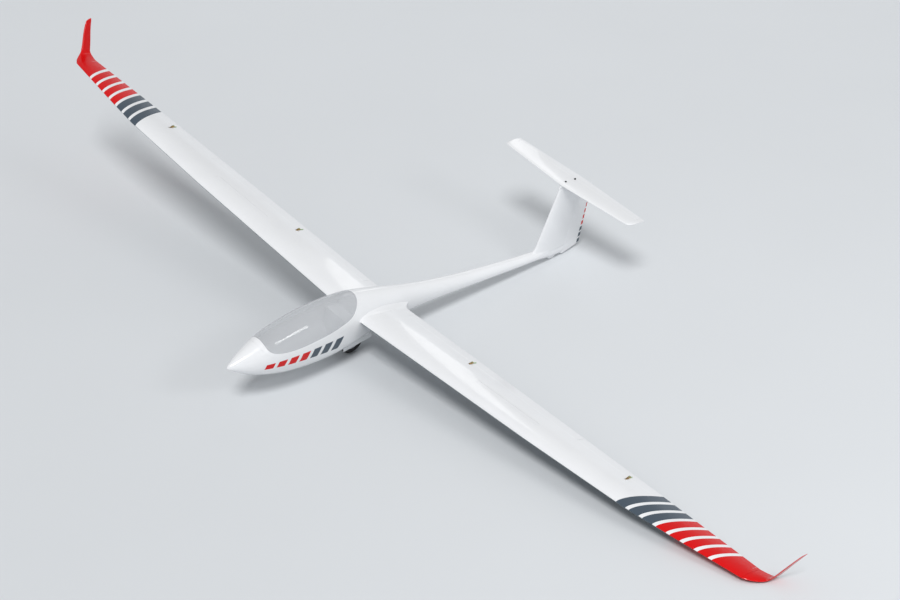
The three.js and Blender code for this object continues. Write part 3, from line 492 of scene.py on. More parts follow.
def edge_outline(edge, inset=0.0):
    """A smooth curve through the points of a side view edge, moved inwards, closed off above."""
    reach = np.concatenate([[0], np.cumsum(np.linalg.norm(np.diff(edge, axis=0), axis=1))])
    curve = smooth(np.column_stack([reach, edge]), np.linspace(0, reach[-1], 90))
    along = np.gradient(curve, axis=0)
    along /= np.linalg.norm(along, axis=1)[:, None]
    curve = curve + inset * np.column_stack([-along[:, 1], along[:, 0]])
    return np.vstack([[curve[0, 0], CUT_HIGH], curve, [curve[-1, 0], CUT_HIGH]])


def half_thickness(c, ratio):
    """The standard four digit thickness curve at chord share c."""
    return 5 * ratio * (0.2969 * np.sqrt(c) - 0.126 * c - 0.3516 * c**2 + 0.2843 * c**3 - 0.1036 * c**4)


def half_depth(c, ratio, chord):
    """Half a section's depth: the thickness curve, and half the blunt trailing edge brought in evenly."""
    return half_thickness(c, ratio) * chord + TRAILING_EDGE / 2 * c


def camber(c):
    """Two parabolas that meet at the highest point of the mean line."""
    front = CAMBER / CAMBER_AT**2 * (2 * CAMBER_AT * c - c * c)
    rear = CAMBER / (1 - CAMBER_AT) ** 2 * (1 - 2 * CAMBER_AT + 2 * CAMBER_AT * c - c * c)
    return np.where(c < CAMBER_AT, front, rear)


def chord_steps(count=34):
    """Chord shares as one row, close together at the nose and the tail: half a cosine."""
    return ((1 - np.cos(np.linspace(0, np.pi, count))) / 2)[None, :]


def around(upper, lower):
    """A section as one ring: upper side aft, then lower side forward. Both start at the front."""
    return np.concatenate([upper, lower[:, :0:-1]], axis=1)


def wing_columns(s):
    """Leading edge aft, chord and thickness ratio at span stations."""
    return [np.interp(s, WING[:, 0], WING[:, column]) for column in (1, 2, 3)]


def wing_axes(side):
    """The wing's own directions: aft along the chord, out along the span, and up."""
    turn, rise = WING_ROOT["incidence"], WING_ROOT["dihedral"]
    return np.array([
        [np.cos(turn), 0, np.sin(turn)],
        [0, side * np.cos(rise), 0],
        [-np.sin(turn), np.sin(rise), np.cos(turn)],
    ])


def wing_origin(side):
    """The root's leading edge."""
    return np.array([WING_ROOT["x"], side * WING_ROOT["y"], WING_ROOT["z"]], float)


def wing_place(side, s, aft, up):
    """A distance along the span, aft of the root's leading edge and over the chord line."""
    local = np.stack(np.broadcast_arrays(aft, s, up), axis=-1).astype(float)
    return local @ wing_axes(side).T + wing_origin(side)


def wing_point(side, s, c, level, lift=0.0):
    """A point on the wing's upper (level 1) or lower (level -1) side: mean line and half depth."""
    leading, chord, ratio = wing_columns(s)
    up = camber(c) * chord + level * half_depth(c, ratio, chord) + lift
    return wing_place(side, s, leading + c * chord, up)


def span_stations(low, high, pitch=40.0):
    """Even stations between two, with the wing's own kinks among them."""
    even = np.linspace(low, high, max(2, int((high - low) / pitch)))
    kinks = WING[(WING[:, 0] > low + 1) & (WING[:, 0] < high - 1), 0]
    return np.unique(np.concatenate([even, kinks]))


def wing_body(side):
    """A whole wing panel, before anything is cut from it."""
    s, c = span_stations(FIT, WING[-1, 0])[:, None], chord_steps()
    return loft(around(wing_point(side, s, c, 1), wing_point(side, s, c, -1)))


def hinge_line(surface, s):
    """How far aft a control surface's hinge is: a straight line along the span."""
    share = (s - surface["from"]) / (surface["to"] - surface["from"])
    return surface["hinge_from"] + share * (surface["hinge_to"] - surface["hinge_from"])


def hinge_size(surface, s):
    """Chord share at the hinge, the axis's height over the chord line and the round nose's radius."""
    leading, chord, ratio = wing_columns(s)
    c = (hinge_line(surface, s) - leading) / chord
    return c, camber(c) * chord, half_depth(c, ratio, chord)


def cove_cutter(side, surface):
    """The space a control surface needs: an arc ahead of its hinge and a block behind it. The arc
    ends early below a flap, whose lip is cut back for its wide travel."""
    inner = span_stations(surface["from"], surface["to"])[1:-1]
    s = np.concatenate([[surface["from"] - END_GAP], inner, [surface["to"] + END_GAP]])[:, None]
    _, up, radius = hinge_size(surface, np.clip(s, surface["from"], surface["to"]))
    aft = hinge_line(surface, s)
    reach = radius + HINGE_GAP
    last = surface["cove_end"]
    ahead, rise = arc(np.pi / 2, last, 17)
    nose = wing_place(side, s, aft + reach * ahead, up + reach * rise)
    behind, clear = 60, 30
    lip = wing_place(side, s, aft + reach * np.cos(last), up - clear)
    steps = np.array([[behind, -clear], [behind, clear], [0, clear]], float)
    block = wing_place(side, s, aft + steps[None, :, 0], up + steps[None, :, 1])
    return loft(np.concatenate([nose, lip, block], axis=1))


def control_surface(side, surface):
    """A flap or aileron: half a circle about its hinge, then the wing's own section to the rear."""
    s = span_stations(surface["from"], surface["to"])[:, None]
    c, up, radius = hinge_size(surface, s)
    aft = hinge_line(surface, s)
    ahead, rise = arc(1.5 * np.pi, np.pi / 2, 17)
    nose = wing_place(side, s, aft + radius * ahead, up + radius * rise)
    share = np.array([0.01, 0.1, 0.22, 0.35, 0.5, 0.65, 0.8, 0.92, 1.0])[None, :]
    steps = c + share * (1 - c)
    upper = wing_point(side, s, steps, 1)
    lower = wing_point(side, s, steps, -1)[:, ::-1]
    return loft(np.concatenate([nose, upper, lower], axis=1))


def airbrake_bar(side, inset, top, bottom, front, rear):
    """A bar along the airbrake's line, shorter than it at each end: top and bottom are depths under
    the wing's upper side there."""
    s = span_stations(AIRBRAKE["from"] + inset, AIRBRAKE["to"] - inset)[:, None]
    leading, chord, ratio = wing_columns(s)
    corner = np.array([
        [front, top], [(front + rear) / 2, top], [rear, top], [rear, bottom], [front, bottom]])
    aft = leading + AIRBRAKE["chord_at"] * chord + corner[None, :, 0]
    c = (aft - leading) / chord
    up = camber(c) * chord + half_thickness(c, ratio) * chord - corner[None, :, 1]
    return loft(wing_place(side, s, aft, up))


def link_seat(surface, station):
    """Aft distance and height of the hinge axis at a station, and the nose radius there."""
    _, up, radius = hinge_size(surface, np.array(float(station)))
    return float(hinge_line(surface, station)), float(up), float(radius)


def wing_prism(side, station, seat, outline, low, high):
    """An outline of distances aft of the hinge and heights over it, carried along the span."""
    outline = np.asarray(outline, float)
    rings = [wing_place(side, station + step, seat[0] + outline[:, 0], seat[1] + outline[:, 1])
             for step in (low, high)]
    return loft(rings)


def tail_columns(y):
    """Leading edge aft and chord: straight to the last kink, then rounded to the tip."""
    station = np.abs(y)
    straight = [np.interp(station, TAIL[:, 0], TAIL[:, column]) for column in (1, 2)]
    tip = smooth(TAIL[1:], np.clip(station, TAIL[1, 0], TAIL[-1, 0]).ravel(), steady=True)
    return [np.where(station < TAIL[1, 0], straight[i], tip[:, i].reshape(station.shape)) for i in (0, 1)]


def tail_place(y, aft, up):
    """A distance aft of the tailplane's leading edge and over its chord line, which slopes down aft."""
    turn = TAIL_ROOT["slope"]
    x = TAIL_ROOT["x"] + aft * np.cos(turn) + up * np.sin(turn)
    z = TAIL_ROOT["z"] - aft * np.sin(turn) + up * np.cos(turn)
    return np.stack(np.broadcast_arrays(x, y, z), axis=-1).astype(float)


def tail_point(y, c, level, grow=0.0):
    """A point on the tailplane's upper (level 1) or lower (level -1) side, moved out by grow."""
    leading, chord = tail_columns(y)
    return tail_place(y, leading + c * chord, level * (half_depth(c, TAIL_ROOT["thick"], chord) + grow))


def tail_stations(*right):
    """Stations on both halves as a column, from those on the right half."""
    right = np.concatenate(right)
    return np.concatenate([-right[:0:-1], right])[:, None]


def tail_body(grow=0.0):
    """A whole tailplane, with stations closest together at the rounded tips: one minus a square."""
    tip = TAIL[-1, 0] - (TAIL[-1, 0] - TAIL[1, 0]) * np.linspace(1, 0, 12) ** 2
    y, c = tail_stations(np.linspace(0, 290, 7), tip), chord_steps()
    return loft(around(tail_point(y, c, 1, grow), tail_point(y, c, -1, grow)))


def elevator_size(y):
    """Chord share at the hinge and the round nose's radius."""
    leading, chord = tail_columns(y)
    c = (ELEVATOR["hinge"] - leading) / chord
    return c, half_depth(c, TAIL_ROOT["thick"], chord)


def rudder_length():
    """From foot to head along the hinge line."""
    return np.linalg.norm(RUDDER["head"] - RUDDER["foot"])


def rudder_axes():
    """The rudder's own directions as columns: up the hinge line, aft of it and across."""
    line = (RUDDER["head"] - RUDDER["foot"]) / rudder_length()
    return np.column_stack([line, [line[2], 0, -line[0]], [0, 1, 0]])


def rudder_place(up, aft, across):
    """Distances up the hinge line, aft of it and across."""
    line, rear, right = rudder_axes().T
    up, aft, across = np.broadcast_arrays(up, aft, across)
    return RUDDER["foot"] + up[..., None] * line + aft[..., None] * rear + across[..., None] * right


# Finishes

def add_node(tree, kind, output, inputs, **settings):
    """Adds a shader node with its settings and links, and gives back the output of that name or
    number. An input is a plain value or another node's output. A mix of colours has its two colours
    at inputs 6 and 7 and its result at output 2."""
    node = tree.nodes.new(f"ShaderNode{kind}")
    for key, value in settings.items():
        setattr(node, key, value)
    for key, value in inputs.items():
        if isinstance(value, bpy.types.NodeSocket):
            tree.links.new(value, node.inputs[key])
        else:
            node.inputs[key].default_value = value
    return None if output is None else node.outputs[output]


def new_finish(name):
    """An empty material, its node tree and the place on the object that its patterns read."""
    finish = bpy.data.materials.new(name)
    finish.use_nodes = True
    tree = finish.node_tree
    tree.nodes.clear()
    return finish, tree, add_node(tree, "TexCoord", "Object", {})


def close_finish(finish, inputs):
    """Adds the shader, with what goes into it, and the material's output."""
    surface = add_node(finish.node_tree, "BsdfPrincipled", "BSDF", inputs)
    add_node(finish.node_tree, "OutputMaterial", None, {"Surface": surface})
    return finish


def per_metre(size_mm):
    """The noise scale that gives waves of that size in millimetres."""
    return 1000.0 / size_mm


def shaded(colour, share):
    """A darker shade of a colour."""
    return (*[channel * share for channel in colour], 1)


def drift(tree, place, size_mm, low=0.0, high=1.0, usual=(0.3, 0.7), **noise):
    """Noise, and a number that wanders with it between two values: the noise's usual range carried to
    theirs."""
    wander = add_node(tree, "TexNoise", "Fac", {"Vector": place, "Scale": per_metre(size_mm), **noise})
    return wander, add_node(tree, "MapRange", "Result", {
        "Value": wander, "From Min": usual[0], "From Max": usual[1], "To Min": low, "To Max": high})


def clouded(tree, place, size_mm, colour, share):
    """A colour that drifts to a darker shade of itself and back."""
    factor = drift(tree, place, size_mm)[1]
    return add_node(
        tree, "Mix", 2, {"Factor": factor, 6: shaded(colour, share), 7: (*colour, 1)}, data_type="RGBA")


def gelcoat(name, colour, roughness=0.16, shade=0.97, coat=0.5, shine=0.5):
    """Polyester gelcoat moulded against a polished mould: an even colour under a hard gloss, with the
    faint long waves of the laminate behind it and a little polishing haze. The waves are real ones of
    about 40 mm; the fine peel is drawn at 5 mm so that it shows. Two pack paint is sprayed over it and
    shines less, so its colour stays deep."""
    finish, tree, place = new_finish(name)
    base = clouded(tree, place, 160, colour, shade)
    haze = drift(tree, place, 60, roughness * 0.75, roughness * 1.3, Detail=4.0)[1]
    waves = add_node(tree, "TexNoise", "Fac", {"Vector": place, "Scale": per_metre(40), "Detail": 1.0})
    peel = add_node(tree, "TexNoise", "Fac", {"Vector": place, "Scale": per_metre(5)})
    height = add_node(tree, "Math", "Value", {0: peel, 1: 0.06, 2: waves}, operation="MULTIPLY_ADD")
    bump = add_node(tree, "Bump", "Normal", {"Height": height, "Strength": 0.25, "Distance": 0.0004})
    return close_finish(finish, {
        "Base Color": base, "Roughness": haze, "Normal": bump,
        "IOR": 1.52, "Specular IOR Level": shine, "Coat Weight": coat, "Coat Roughness": 0.04})


def acrylic(name, colour):
    """Light smoke acrylic, blown and polished: clear and glossy, and paler at a low angle by painted
    reflection.
    """
    finish, tree, place = new_finish(name)
    haze = drift(tree, place, 50, 0.015, 0.05)[1]
    # Painted reflection: the pale tint grows more opaque towards a low angle, standing in for the brighter
    # reflection that glass shows there
    edge = add_node(tree, "LayerWeight", "Facing", {"Blend": 0.35})
    body = add_node(tree, "MapRange", "Result", {"Value": edge, "To Min": 0.26, "To Max": 0.62})
    return close_finish(finish, {
        "Base Color": (*colour, 1), "Roughness": haze, "Alpha": body,
        "IOR": 1.49, "Coat Weight": 1.0, "Coat Roughness": 0.01})


def moulded_plastic(name, colour):
    """Vacuum formed ABS: satin, with a fine pebble of 1.6 mm from the sheet's rolled side."""
    finish, tree, place = new_finish(name)
    base = clouded(tree, place, 30, colour, 0.9)
    grain, satin = drift(tree, place, 1.6, 0.36, 0.5, Detail=3.0)
    bump = add_node(tree, "Bump", "Normal", {"Height": grain, "Strength": 0.35, "Distance": 0.0002})
    return close_finish(finish, {"Base Color": base, "Roughness": satin, "Normal": bump, "IOR": 1.53})


def laminate(name, colour):
    """Sawn glass fibre laminate: pale green resin over a plain weave, two crossed waves multiplied.
    Real threads are 0.5 mm apart and are drawn at 1 mm."""
    finish, tree, place = new_finish(name)
    thread = {"Vector": place, "Scale": per_metre(1.0) / 6.28, "Distortion": 1.2, "Detail": 1.0}
    warp, weft = [add_node(tree, "TexWave", "Fac", thread, bands_direction=way) for way in ("X", "Z")]
    weave = add_node(tree, "Math", "Value", {0: warp, 1: weft}, operation="MULTIPLY")
    base = add_node(
        tree, "Mix", 2, {"Factor": weave, 6: shaded(colour, 0.78), 7: (*colour, 1)}, data_type="RGBA")
    bump = add_node(tree, "Bump", "Normal", {"Height": weave, "Strength": 0.3, "Distance": 0.0001})
    return close_finish(finish, {"Base Color": base, "Roughness": 0.45, "Normal": bump, "IOR": 1.55})


def metal(name, colour, roughness, grain_mm):
    """Machined metal: tool marks as a fine uneven grain that breaks the reflection up."""
    finish, tree, place = new_finish(name)
    marks, rough = drift(
        tree, place, grain_mm, roughness * 0.8, roughness * 1.3, Detail=4.0, Roughness=0.65)
    base = clouded(tree, place, 12, colour, 0.82)
    bump = add_node(tree, "Bump", "Normal", {"Height": marks, "Strength": 0.15, "Distance": 0.0001})
    return close_finish(finish, {"Base Color": base, "Metallic": 1.0, "Roughness": rough, "Normal": bump})


def rubber(name, colour):
    """Moulded tyre rubber: matt, slightly dusty where it has rolled."""
    finish, tree, place = new_finish(name)
    dust = drift(tree, place, 9, usual=(0.45, 0.75), Detail=5.0)[1]
    dusty = (*[channel * 2.2 + 0.01 for channel in colour], 1)
    base = add_node(tree, "Mix", 2, {"Factor": dust, 6: (*colour, 1), 7: dusty}, data_type="RGBA")
    grain = add_node(tree, "TexNoise", "Fac", {"Vector": place, "Scale": per_metre(0.8)})
    bump = add_node(tree, "Bump", "Normal", {"Height": grain, "Strength": 0.3, "Distance": 0.0001})
    matt = add_node(tree, "MapRange", "Result", {"Value": dust, "To Min": 0.62, "To Max": 0.85})
    return close_finish(finish, {"Base Color": base, "Roughness": matt, "Normal": bump, "IOR": 1.5})


def floor_paper(name, colour):
    """Matt studio paper, with only a breath of unevenness."""
    finish, tree, place = new_finish(name)
    base = clouded(tree, place, 900, colour, 0.985)
    return close_finish(finish, {"Base Color": base, "Roughness": 0.9, "Specular IOR Level": 0.15})


# Each slot's material; a painted piece has the first four, and its faces are numbered by them
FINISHES = {}
PAINTS = ("white_gelcoat", "red_gelcoat", "grey_paint", "slate_paint")
RED, GREY, SLATE = 1, 2, 3


# Settings

def colour_setting(name, description, text):
    """A colour that the user may change, from sRGB hex."""
    return bpy.props.FloatVectorProperty(
        name=name, description=description, subtype="COLOR", default=linear(text), min=0, max=1)


class SailplanePaint(bpy.types.PropertyGroup):
    """The colours that a builder would choose."""
    white: colour_setting("White", "Gelcoat of the mouldings", "E9EAEC")
    red: colour_setting("Red", "Tips, winglets and front stripes", "D20508")
    grey: colour_setting("Stripe grey", "Inner stripes", "46525E")
    slate: colour_setting("Underside", "Underside of the wing", "586771")
    smoke: colour_setting("Canopy tint", "Smoke acrylic of the canopy", "D9DCE0")


class SailplaneStripes(bpy.types.PropertyGroup):
    """Stripe sizes on the wing's upper side and on the fuselage."""
    wing_count: bpy.props.IntProperty(
        name="Wing stripes", description="Stripes inboard of the red tip", default=7, min=1, max=12)
    wing_width: bpy.props.FloatProperty(
        name="Wing stripe width", description="Width at the leading edge in millimetres", default=38.8,
        min=5, max=80)
    side_count: bpy.props.IntProperty(
        name="Fuselage stripes", description="Stripes on each side of the nose", default=7, min=1, max=10)
    side_width: bpy.props.FloatProperty(
        name="Fuselage stripe width", description="Width along the top edge in millimetres",
        default=33.3, min=5, max=60)


class SailplaneStage(bpy.types.PropertyGroup):
    """Camera and floor."""
    azimuth: bpy.props.FloatProperty(
        name="Azimuth", description="Camera's turn round the object", default=np.radians(-42),
        subtype="ANGLE")
    elevation: bpy.props.FloatProperty(
        name="Elevation", description="Camera's height over the horizon", default=np.radians(31),
        subtype="ANGLE")
    lens: bpy.props.FloatProperty(
        name="Lens", description="Focal length in millimetres", default=85, min=20, max=300)
    fill: bpy.props.FloatProperty(
        name="Frame fill", description="Share of the frame that the object may take", default=0.94,
        subtype="FACTOR", min=0.3, max=1)
    paper: colour_setting("Floor", "Studio paper", "D6D9DC")


class SAILPLANE_OT_finishes(bpy.types.Operator):
    """Makes every material once."""
    bl_idname = "sailplane.finishes"
    bl_label = "Finishes"

    def execute(self, context):
        colours = context.scene.sailplane_paint
        FINISHES.update({
            "white_gelcoat": gelcoat("white_gelcoat_moulding", colours.white),
            "red_gelcoat": gelcoat("red_two_pack_paint", colours.red, 0.2, 0.94, 0.12, 0.25),
            "grey_paint": gelcoat("grey_two_pack_paint", colours.grey, 0.22, 0.95, 0.15, 0.35),
            "slate_paint": gelcoat("slate_two_pack_paint", colours.slate, 0.24, 0.94, 0.15, 0.35),
            "smoked_acrylic": acrylic("smoked_acrylic_canopy", colours.smoke),
            "slate_abs": moulded_plastic("slate_abs_cover", linear("4C5963")),
            "glass_laminate": laminate("green_glass_laminate", linear("A9C496")),
            "brass_fitting": metal("machined_brass", linear("C9A66B"), 0.28, 0.9),
            "turned_aluminium": metal("turned_aluminium", linear("C4C7CB"), 0.3, 1.2),
            "black_steel": metal("black_oxide_steel", linear("3A3B3E"), 0.4, 1.5),
            "wheel_tyre": rubber("moulded_tyre_rubber", linear("1C1C1E")),
        })
        return {"FINISHED"}


# Fuselage

def fin_rings():
    """Fin sections: a thin symmetrical section from the leading edge line to the rudder's rear edge.
    Below, it flows into the boom: half its width is the fifth root of the sum of both bodies' own
    half widths to the fifth power. Above, it swells into the tailplane's seat. Over the front twelfth
    of the chord a square root rounds what the boom and the seat add."""
    sunk, blended, seated = FIN["sunk_z"], FIN["blend_z"], FIN["seat_z"]
    z = np.concatenate([
        np.linspace(sunk, blended, 28), np.linspace(30, 240, 9),
        np.linspace(seated - 1, TAIL_ROOT["z"], 12)])[:, None]
    slope = (FIN["high_x"] - FIN["low_x"]) / (FIN["high_z"] - FIN["low_z"])
    hinge_slant = (RUDDER["head"][0] - RUDDER["foot"][0]) / (RUDDER["head"][2] - RUDDER["foot"][2])
    foot = np.clip((blended - z) / (blended - sunk), 0, 1) ** 2
    seat = np.clip((z - seated) / FIN["seat_rise"], 0, 1) ** 2
    front = (FIN["low_x"] + slope * (z - FIN["low_z"])
             - FIN["blend_ahead"] * foot - FIN["seat_ahead"] * seat)
    hinge = RUDDER["foot"][0] + hinge_slant * (z - RUDDER["foot"][2])
    share = (z - RUDDER["foot"][2]) / (RUDDER["head"][2] - RUDDER["foot"][2])
    rear = hinge + RUDDER["foot_chord"] + share * (RUDDER["head_chord"] - RUDDER["foot_chord"])
    c = chord_steps()
    chord = rear - front
    x = front + c * chord
    power = FIN["blend_power"]
    rounding = np.sqrt(np.clip(c * FIN["nose_steps"], 0, 1))
    boom = np.maximum(hull_width(x, z) - FIN["blend_inside"], 0) * rounding
    rooted = np.sqrt(np.clip((z - sunk) / FIN["sunk_rise"], 0, 1))
    grown = half_depth(c, FIN["thick"], chord) * rooted
    half = (grown**power + boom**power) ** (1 / power) + FIN["seat_swell"] * seat * rounding
    high = np.broadcast_to(z, x.shape)
    return around(np.stack([x, half, high], axis=-1), np.stack([x, -half, high], axis=-1))


def rudder_cutter():
    """Everything behind the hinge line, with the round cove for the rudder's nose, whose lips stand
    a little ahead of the line."""
    under, over, behind, wide = -40, 60, 150.0, 40
    up = np.array([under, rudder_length() + over])[:, None]
    taper = (RUDDER["head_radius"] - RUDDER["foot_radius"]) / rudder_length()
    reach = RUDDER["foot_radius"] + taper * up + HINGE_GAP
    relief = RUDDER["lip_relief"]
    ahead, across = arc(np.pi / 2 + relief, 1.5 * np.pi - relief, 21)
    cove = rudder_place(up, reach * ahead, reach * across)
    lip = -reach * np.sin(relief)
    aft = np.hstack([lip, np.full((2, 2), behind), lip])
    corners = np.array([-wide, -wide, wide, wide], float)[None, :]
    return loft(np.concatenate([cove, rudder_place(up, aft, corners)], axis=1))


def fairing(side):
    """The wing root fairing: the root section swells as it nears the fuselage."""
    y = np.linspace(FAIRING[0, 0], FAIRING[-1, 0], 26)
    flare, swell = smooth(FAIRING, y, steady=True).T
    y, flare, swell = y[:, None], flare[:, None], swell[:, None]
    chord = WING[0, 2] + 2 * flare
    c = chord_steps()
    turn = WING_ROOT["incidence"]

    def skin(level):
        """Upper (1) or lower (-1) side: the mean line with half the swollen depth over or under it."""
        aft = c * chord - flare
        up = camber(c) * WING[0, 2] + level * half_thickness(c, WING[0, 3] * swell) * WING[0, 2]
        x = WING_ROOT["x"] + aft * np.cos(turn) + up * np.sin(turn)
        z = WING_ROOT["z"] - aft * np.sin(turn) + (up + level * TRAILING_EDGE / 2 * c) * np.cos(turn)
        return np.stack([x, np.broadcast_to(side * y, x.shape), z], axis=-1)

    return loft(around(skin(1), skin(-1)))


def skid_disc(grow=0.0):
    """A disc whose rim is half an ellipse, or a plain grown one, which cuts the slot that it sits in."""
    half = SKID["thick"] / 2 + grow
    radius, rounding = SKID["radius"] + grow, SKID["rounding"]
    ends = cross_line(SKID["x"], SKID["z"], -half, half)
    if grow:
        return rod(*ends, radius, 72)
    turn = np.linspace(-1, 1, 9)
    rim = radius - rounding + rounding * np.sqrt(1 - turn**2)
    return loft(turned(np.column_stack([half * (1 + turn), rim]), *ends, 72))


def side_stripes(stripes):
    """Slanted blocks along the nose: four red, then grey. Top and bottom edges are straight lines in
    side view, and the pitch grows a little from block to block."""
    first, pitch, growth, z, slope = np.array([SIDE_TOP, SIDE_TOP, SIDE_LOW, SIDE_LOW]).T
    width = np.array([0, stripes.side_width, stripes.side_width - SIDE_TAPER, 0])
    for number in range(stripes.side_count):
        x = first + pitch * number + growth * number**2 + width
        yield (RED if number < RED_BLOCKS else GREY), np.column_stack([x, z + (x - first) * slope])


class SAILPLANE_OT_fuselage(bpy.types.Operator):
    """Fuselage, canopy frame, canopy and gear doors, all cut from one smooth hull."""
    bl_idname = "sailplane.fuselage"
    bl_label = "Fuselage"

    def execute(self, context):
        body = hull()
        self.canopy(combine(copy_of(body), "DIFFERENCE", hull(SKIN)))
        self.doors(body)
        fin = combine(loft(fin_rings()), "DIFFERENCE", side_prism(ELEVATOR_ROOM, -30, 30))
        combine(body, "UNION", fairing(-1), fairing(1), fin)
        under, over = COCKPIT["under"], COCKPIT["over"]
        tub = box((COCKPIT["front"], -CUT_WIDE, under), (COCKPIT["rear"], CUT_WIDE, over))
        ledge = box((COCKPIT["rear"] - 1, -CUT_WIDE, COCKPIT["ledge_z"]),
                    (COCKPIT["ledge_rear"], CUT_WIDE, over))
        half = WELL["half_width"]
        wide = half + DOOR["rebate"]
        combine(
            body, "DIFFERENCE", tail_body(FIT), rudder_cutter(), side_prism(edge_outline(CANOPY_SEAM)),
            combine(hull(SKIN), "INTERSECT", tub), combine(hull(SKIN), "INTERSECT", ledge),
            box((WELL["front"], -half, WELL["under"]), (WELL["rear"], half, WELL["top"])),
            box((WELL["front"], -wide, WELL["under"]), (WELL["rear"], wide, DOOR["rebate_top"])),
            skid_disc(FIT))
        patches = [(*stripe, self.outside) for stripe in side_stripes(context.scene.sailplane_stripes)]
        paint(body, np.array([[1, 0, 0], [0, 0, 1], [0, 1, 0]], float), np.zeros(3), patches)
        finish_piece(body, "fuselage_moulding", "root", "fuselage", "white_gelcoat")
        return {"FINISHED"}

    @staticmethod
    def outside(centres, normals, places):
        """Faces that look outwards and lie off the middle, and not the cockpit's lining."""
        outwards, off_middle = 0.2, 20
        return ((np.sign(centres[:, 1]) * normals[:, 1] > outwards)
                & (np.abs(centres[:, 1]) > off_middle))

    @staticmethod
    def canopy(shell):
        """The frame is the shell inside the seam without the glass's opening; the glass fits in that."""
        seam = side_prism(edge_outline(CANOPY_SEAM, FIT))
        opening = side_prism(edge_outline(GLASS_EDGE))
        pane = side_prism(edge_outline(GLASS_EDGE, FIT))
        glass = combine(copy_of(shell), "INTERSECT", pane)
        rim = combine(combine(shell, "INTERSECT", seam), "DIFFERENCE", opening)
        finish_piece(rim, "canopy_rim", "canopy", "canopy_frame", "white_gelcoat")
        finish_piece(glass, "canopy_pane", "canopy", "canopy_glass", "smoked_acrylic")

    @staticmethod
    def doors(outer):
        """Each door is the belly panel over its half of the well, swung about its outer edge."""
        closed = combine(copy_of(outer), "DIFFERENCE", hull(DOOR["thick"]))
        half, gap, end_gap = WELL["half_width"], DOOR["gap"], DOOR["end_gap"]
        for side, hand in SIDES:
            near = sorted((side * gap, side * (half - gap)))
            space = box((WELL["front"] + end_gap, near[0], WELL["under"]),
                        (WELL["rear"] - end_gap, near[1], 0))
            door = combine(copy_of(closed), "INTERSECT", space)
            front = Vector((WELL["front"], side * half, DOOR["front_z"]))
            rear = Vector((WELL["rear"], side * half, DOOR["rear_z"]))
            swing = Matrix.Rotation(side * DOOR["open"], 4, (rear - front).normalized())
            inward = Matrix.Translation((0, -side * DOOR["inward"], 0))
            door.data.transform(inward @ Matrix.Translation(front) @ swing @ Matrix.Translation(-front))
            name = f"gear_door_{hand}"
            finish_piece(door, f"gear_door_panel_{hand}", name, name, "white_gelcoat")
        bpy.data.objects.remove(closed)


# Tail

def rudder_body():
    """Rudder: half a circle about the hinge line, then flat sides to a thin rear edge. Its foot rises
    and its head drops towards the rear."""
    level = np.linspace(0, 1, 31)[:, None]

    def mixed(foot, head):
        """A size that changes evenly from foot to head."""
        return foot + level * (head - foot)

    radius = mixed(RUDDER["foot_radius"], RUDDER["head_radius"])
    chord = mixed(RUDDER["foot_chord"], RUDDER["head_chord"])
    up = level * rudder_length()
    rise = mixed(RUDDER["foot_rise"], -RUDDER["head_drop"])
    ahead, across = arc(1.5 * np.pi, np.pi / 2, 19)
    nose = rudder_place(up, radius * ahead, radius * across)
    share = np.linspace(0.05, 1, 14)[None, :]
    belly = radius * (1 - share) * (1 + 0.33 * share) + TRAILING_EDGE / 2 * share
    right = rudder_place(up + rise * share, chord * share, belly)
    left = rudder_place(up + rise * share, chord * share, -belly)
    return loft(np.concatenate([nose, right, left[:, ::-1]], axis=1))


def rudder_blocks():
    """Ten slanted blocks along the rear edge from its foot: three grey and seven red, each thinner."""
    foot = np.array([RUDDER["foot_rise"], RUDDER["foot_chord"]], float)
    head = np.array([rudder_length() - RUDDER["head_drop"], RUDDER["head_chord"]], float)
    along = (head - foot) / np.linalg.norm(head - foot)
    inward = np.array([along[1], -along[0]])
    width, slant, outside = (RUDDER_BLOCKS[key] for key in ("width", "slant", "outside"))
    for number, depth in enumerate(BLOCK_DEPTHS):
        start = RUDDER_BLOCKS["start"] + RUDDER_BLOCKS["pitch"] * number
        corners = np.array([
            (start + slant * outside, -outside), (start + width + slant * outside, -outside),
            (start + width - slant * depth, depth), (start - slant * depth, depth)])
        outline = foot + corners[:, :1] * along + corners[:, 1:] * inward
        yield (GREY if number < RUDDER_BLOCKS["grey"] else RED), outline


def either_side(centres, normals, places):
    """Every face."""
    return np.ones(len(centres), bool)


def socket_head(foot, top, radius):
    """A round bolt head with a rounded rim and a six sided socket, whose flats are a cosine over the
    cosine of the angle from their middle."""
    height = np.linalg.norm(np.subtract(top, foot))
    rings = turned([
        (0, radius), (height - 0.6, radius), (height - 0.2, radius - 0.2), (height, radius - 0.6),
        (height, radius * 0.62), (height - 2, radius * 0.6)], foot, top, 48)
    angle = np.linspace(0, 2 * np.pi, 48, endpoint=False)
    flat = np.cos(np.pi / 6) / np.cos(angle % (np.pi / 3) - np.pi / 6)
    centre = rings.mean(axis=1, keepdims=True)
    rings[4:] = centre[4:] + (rings[4:] - centre[4:]) * flat[None, :, None]
    return loft(rings)


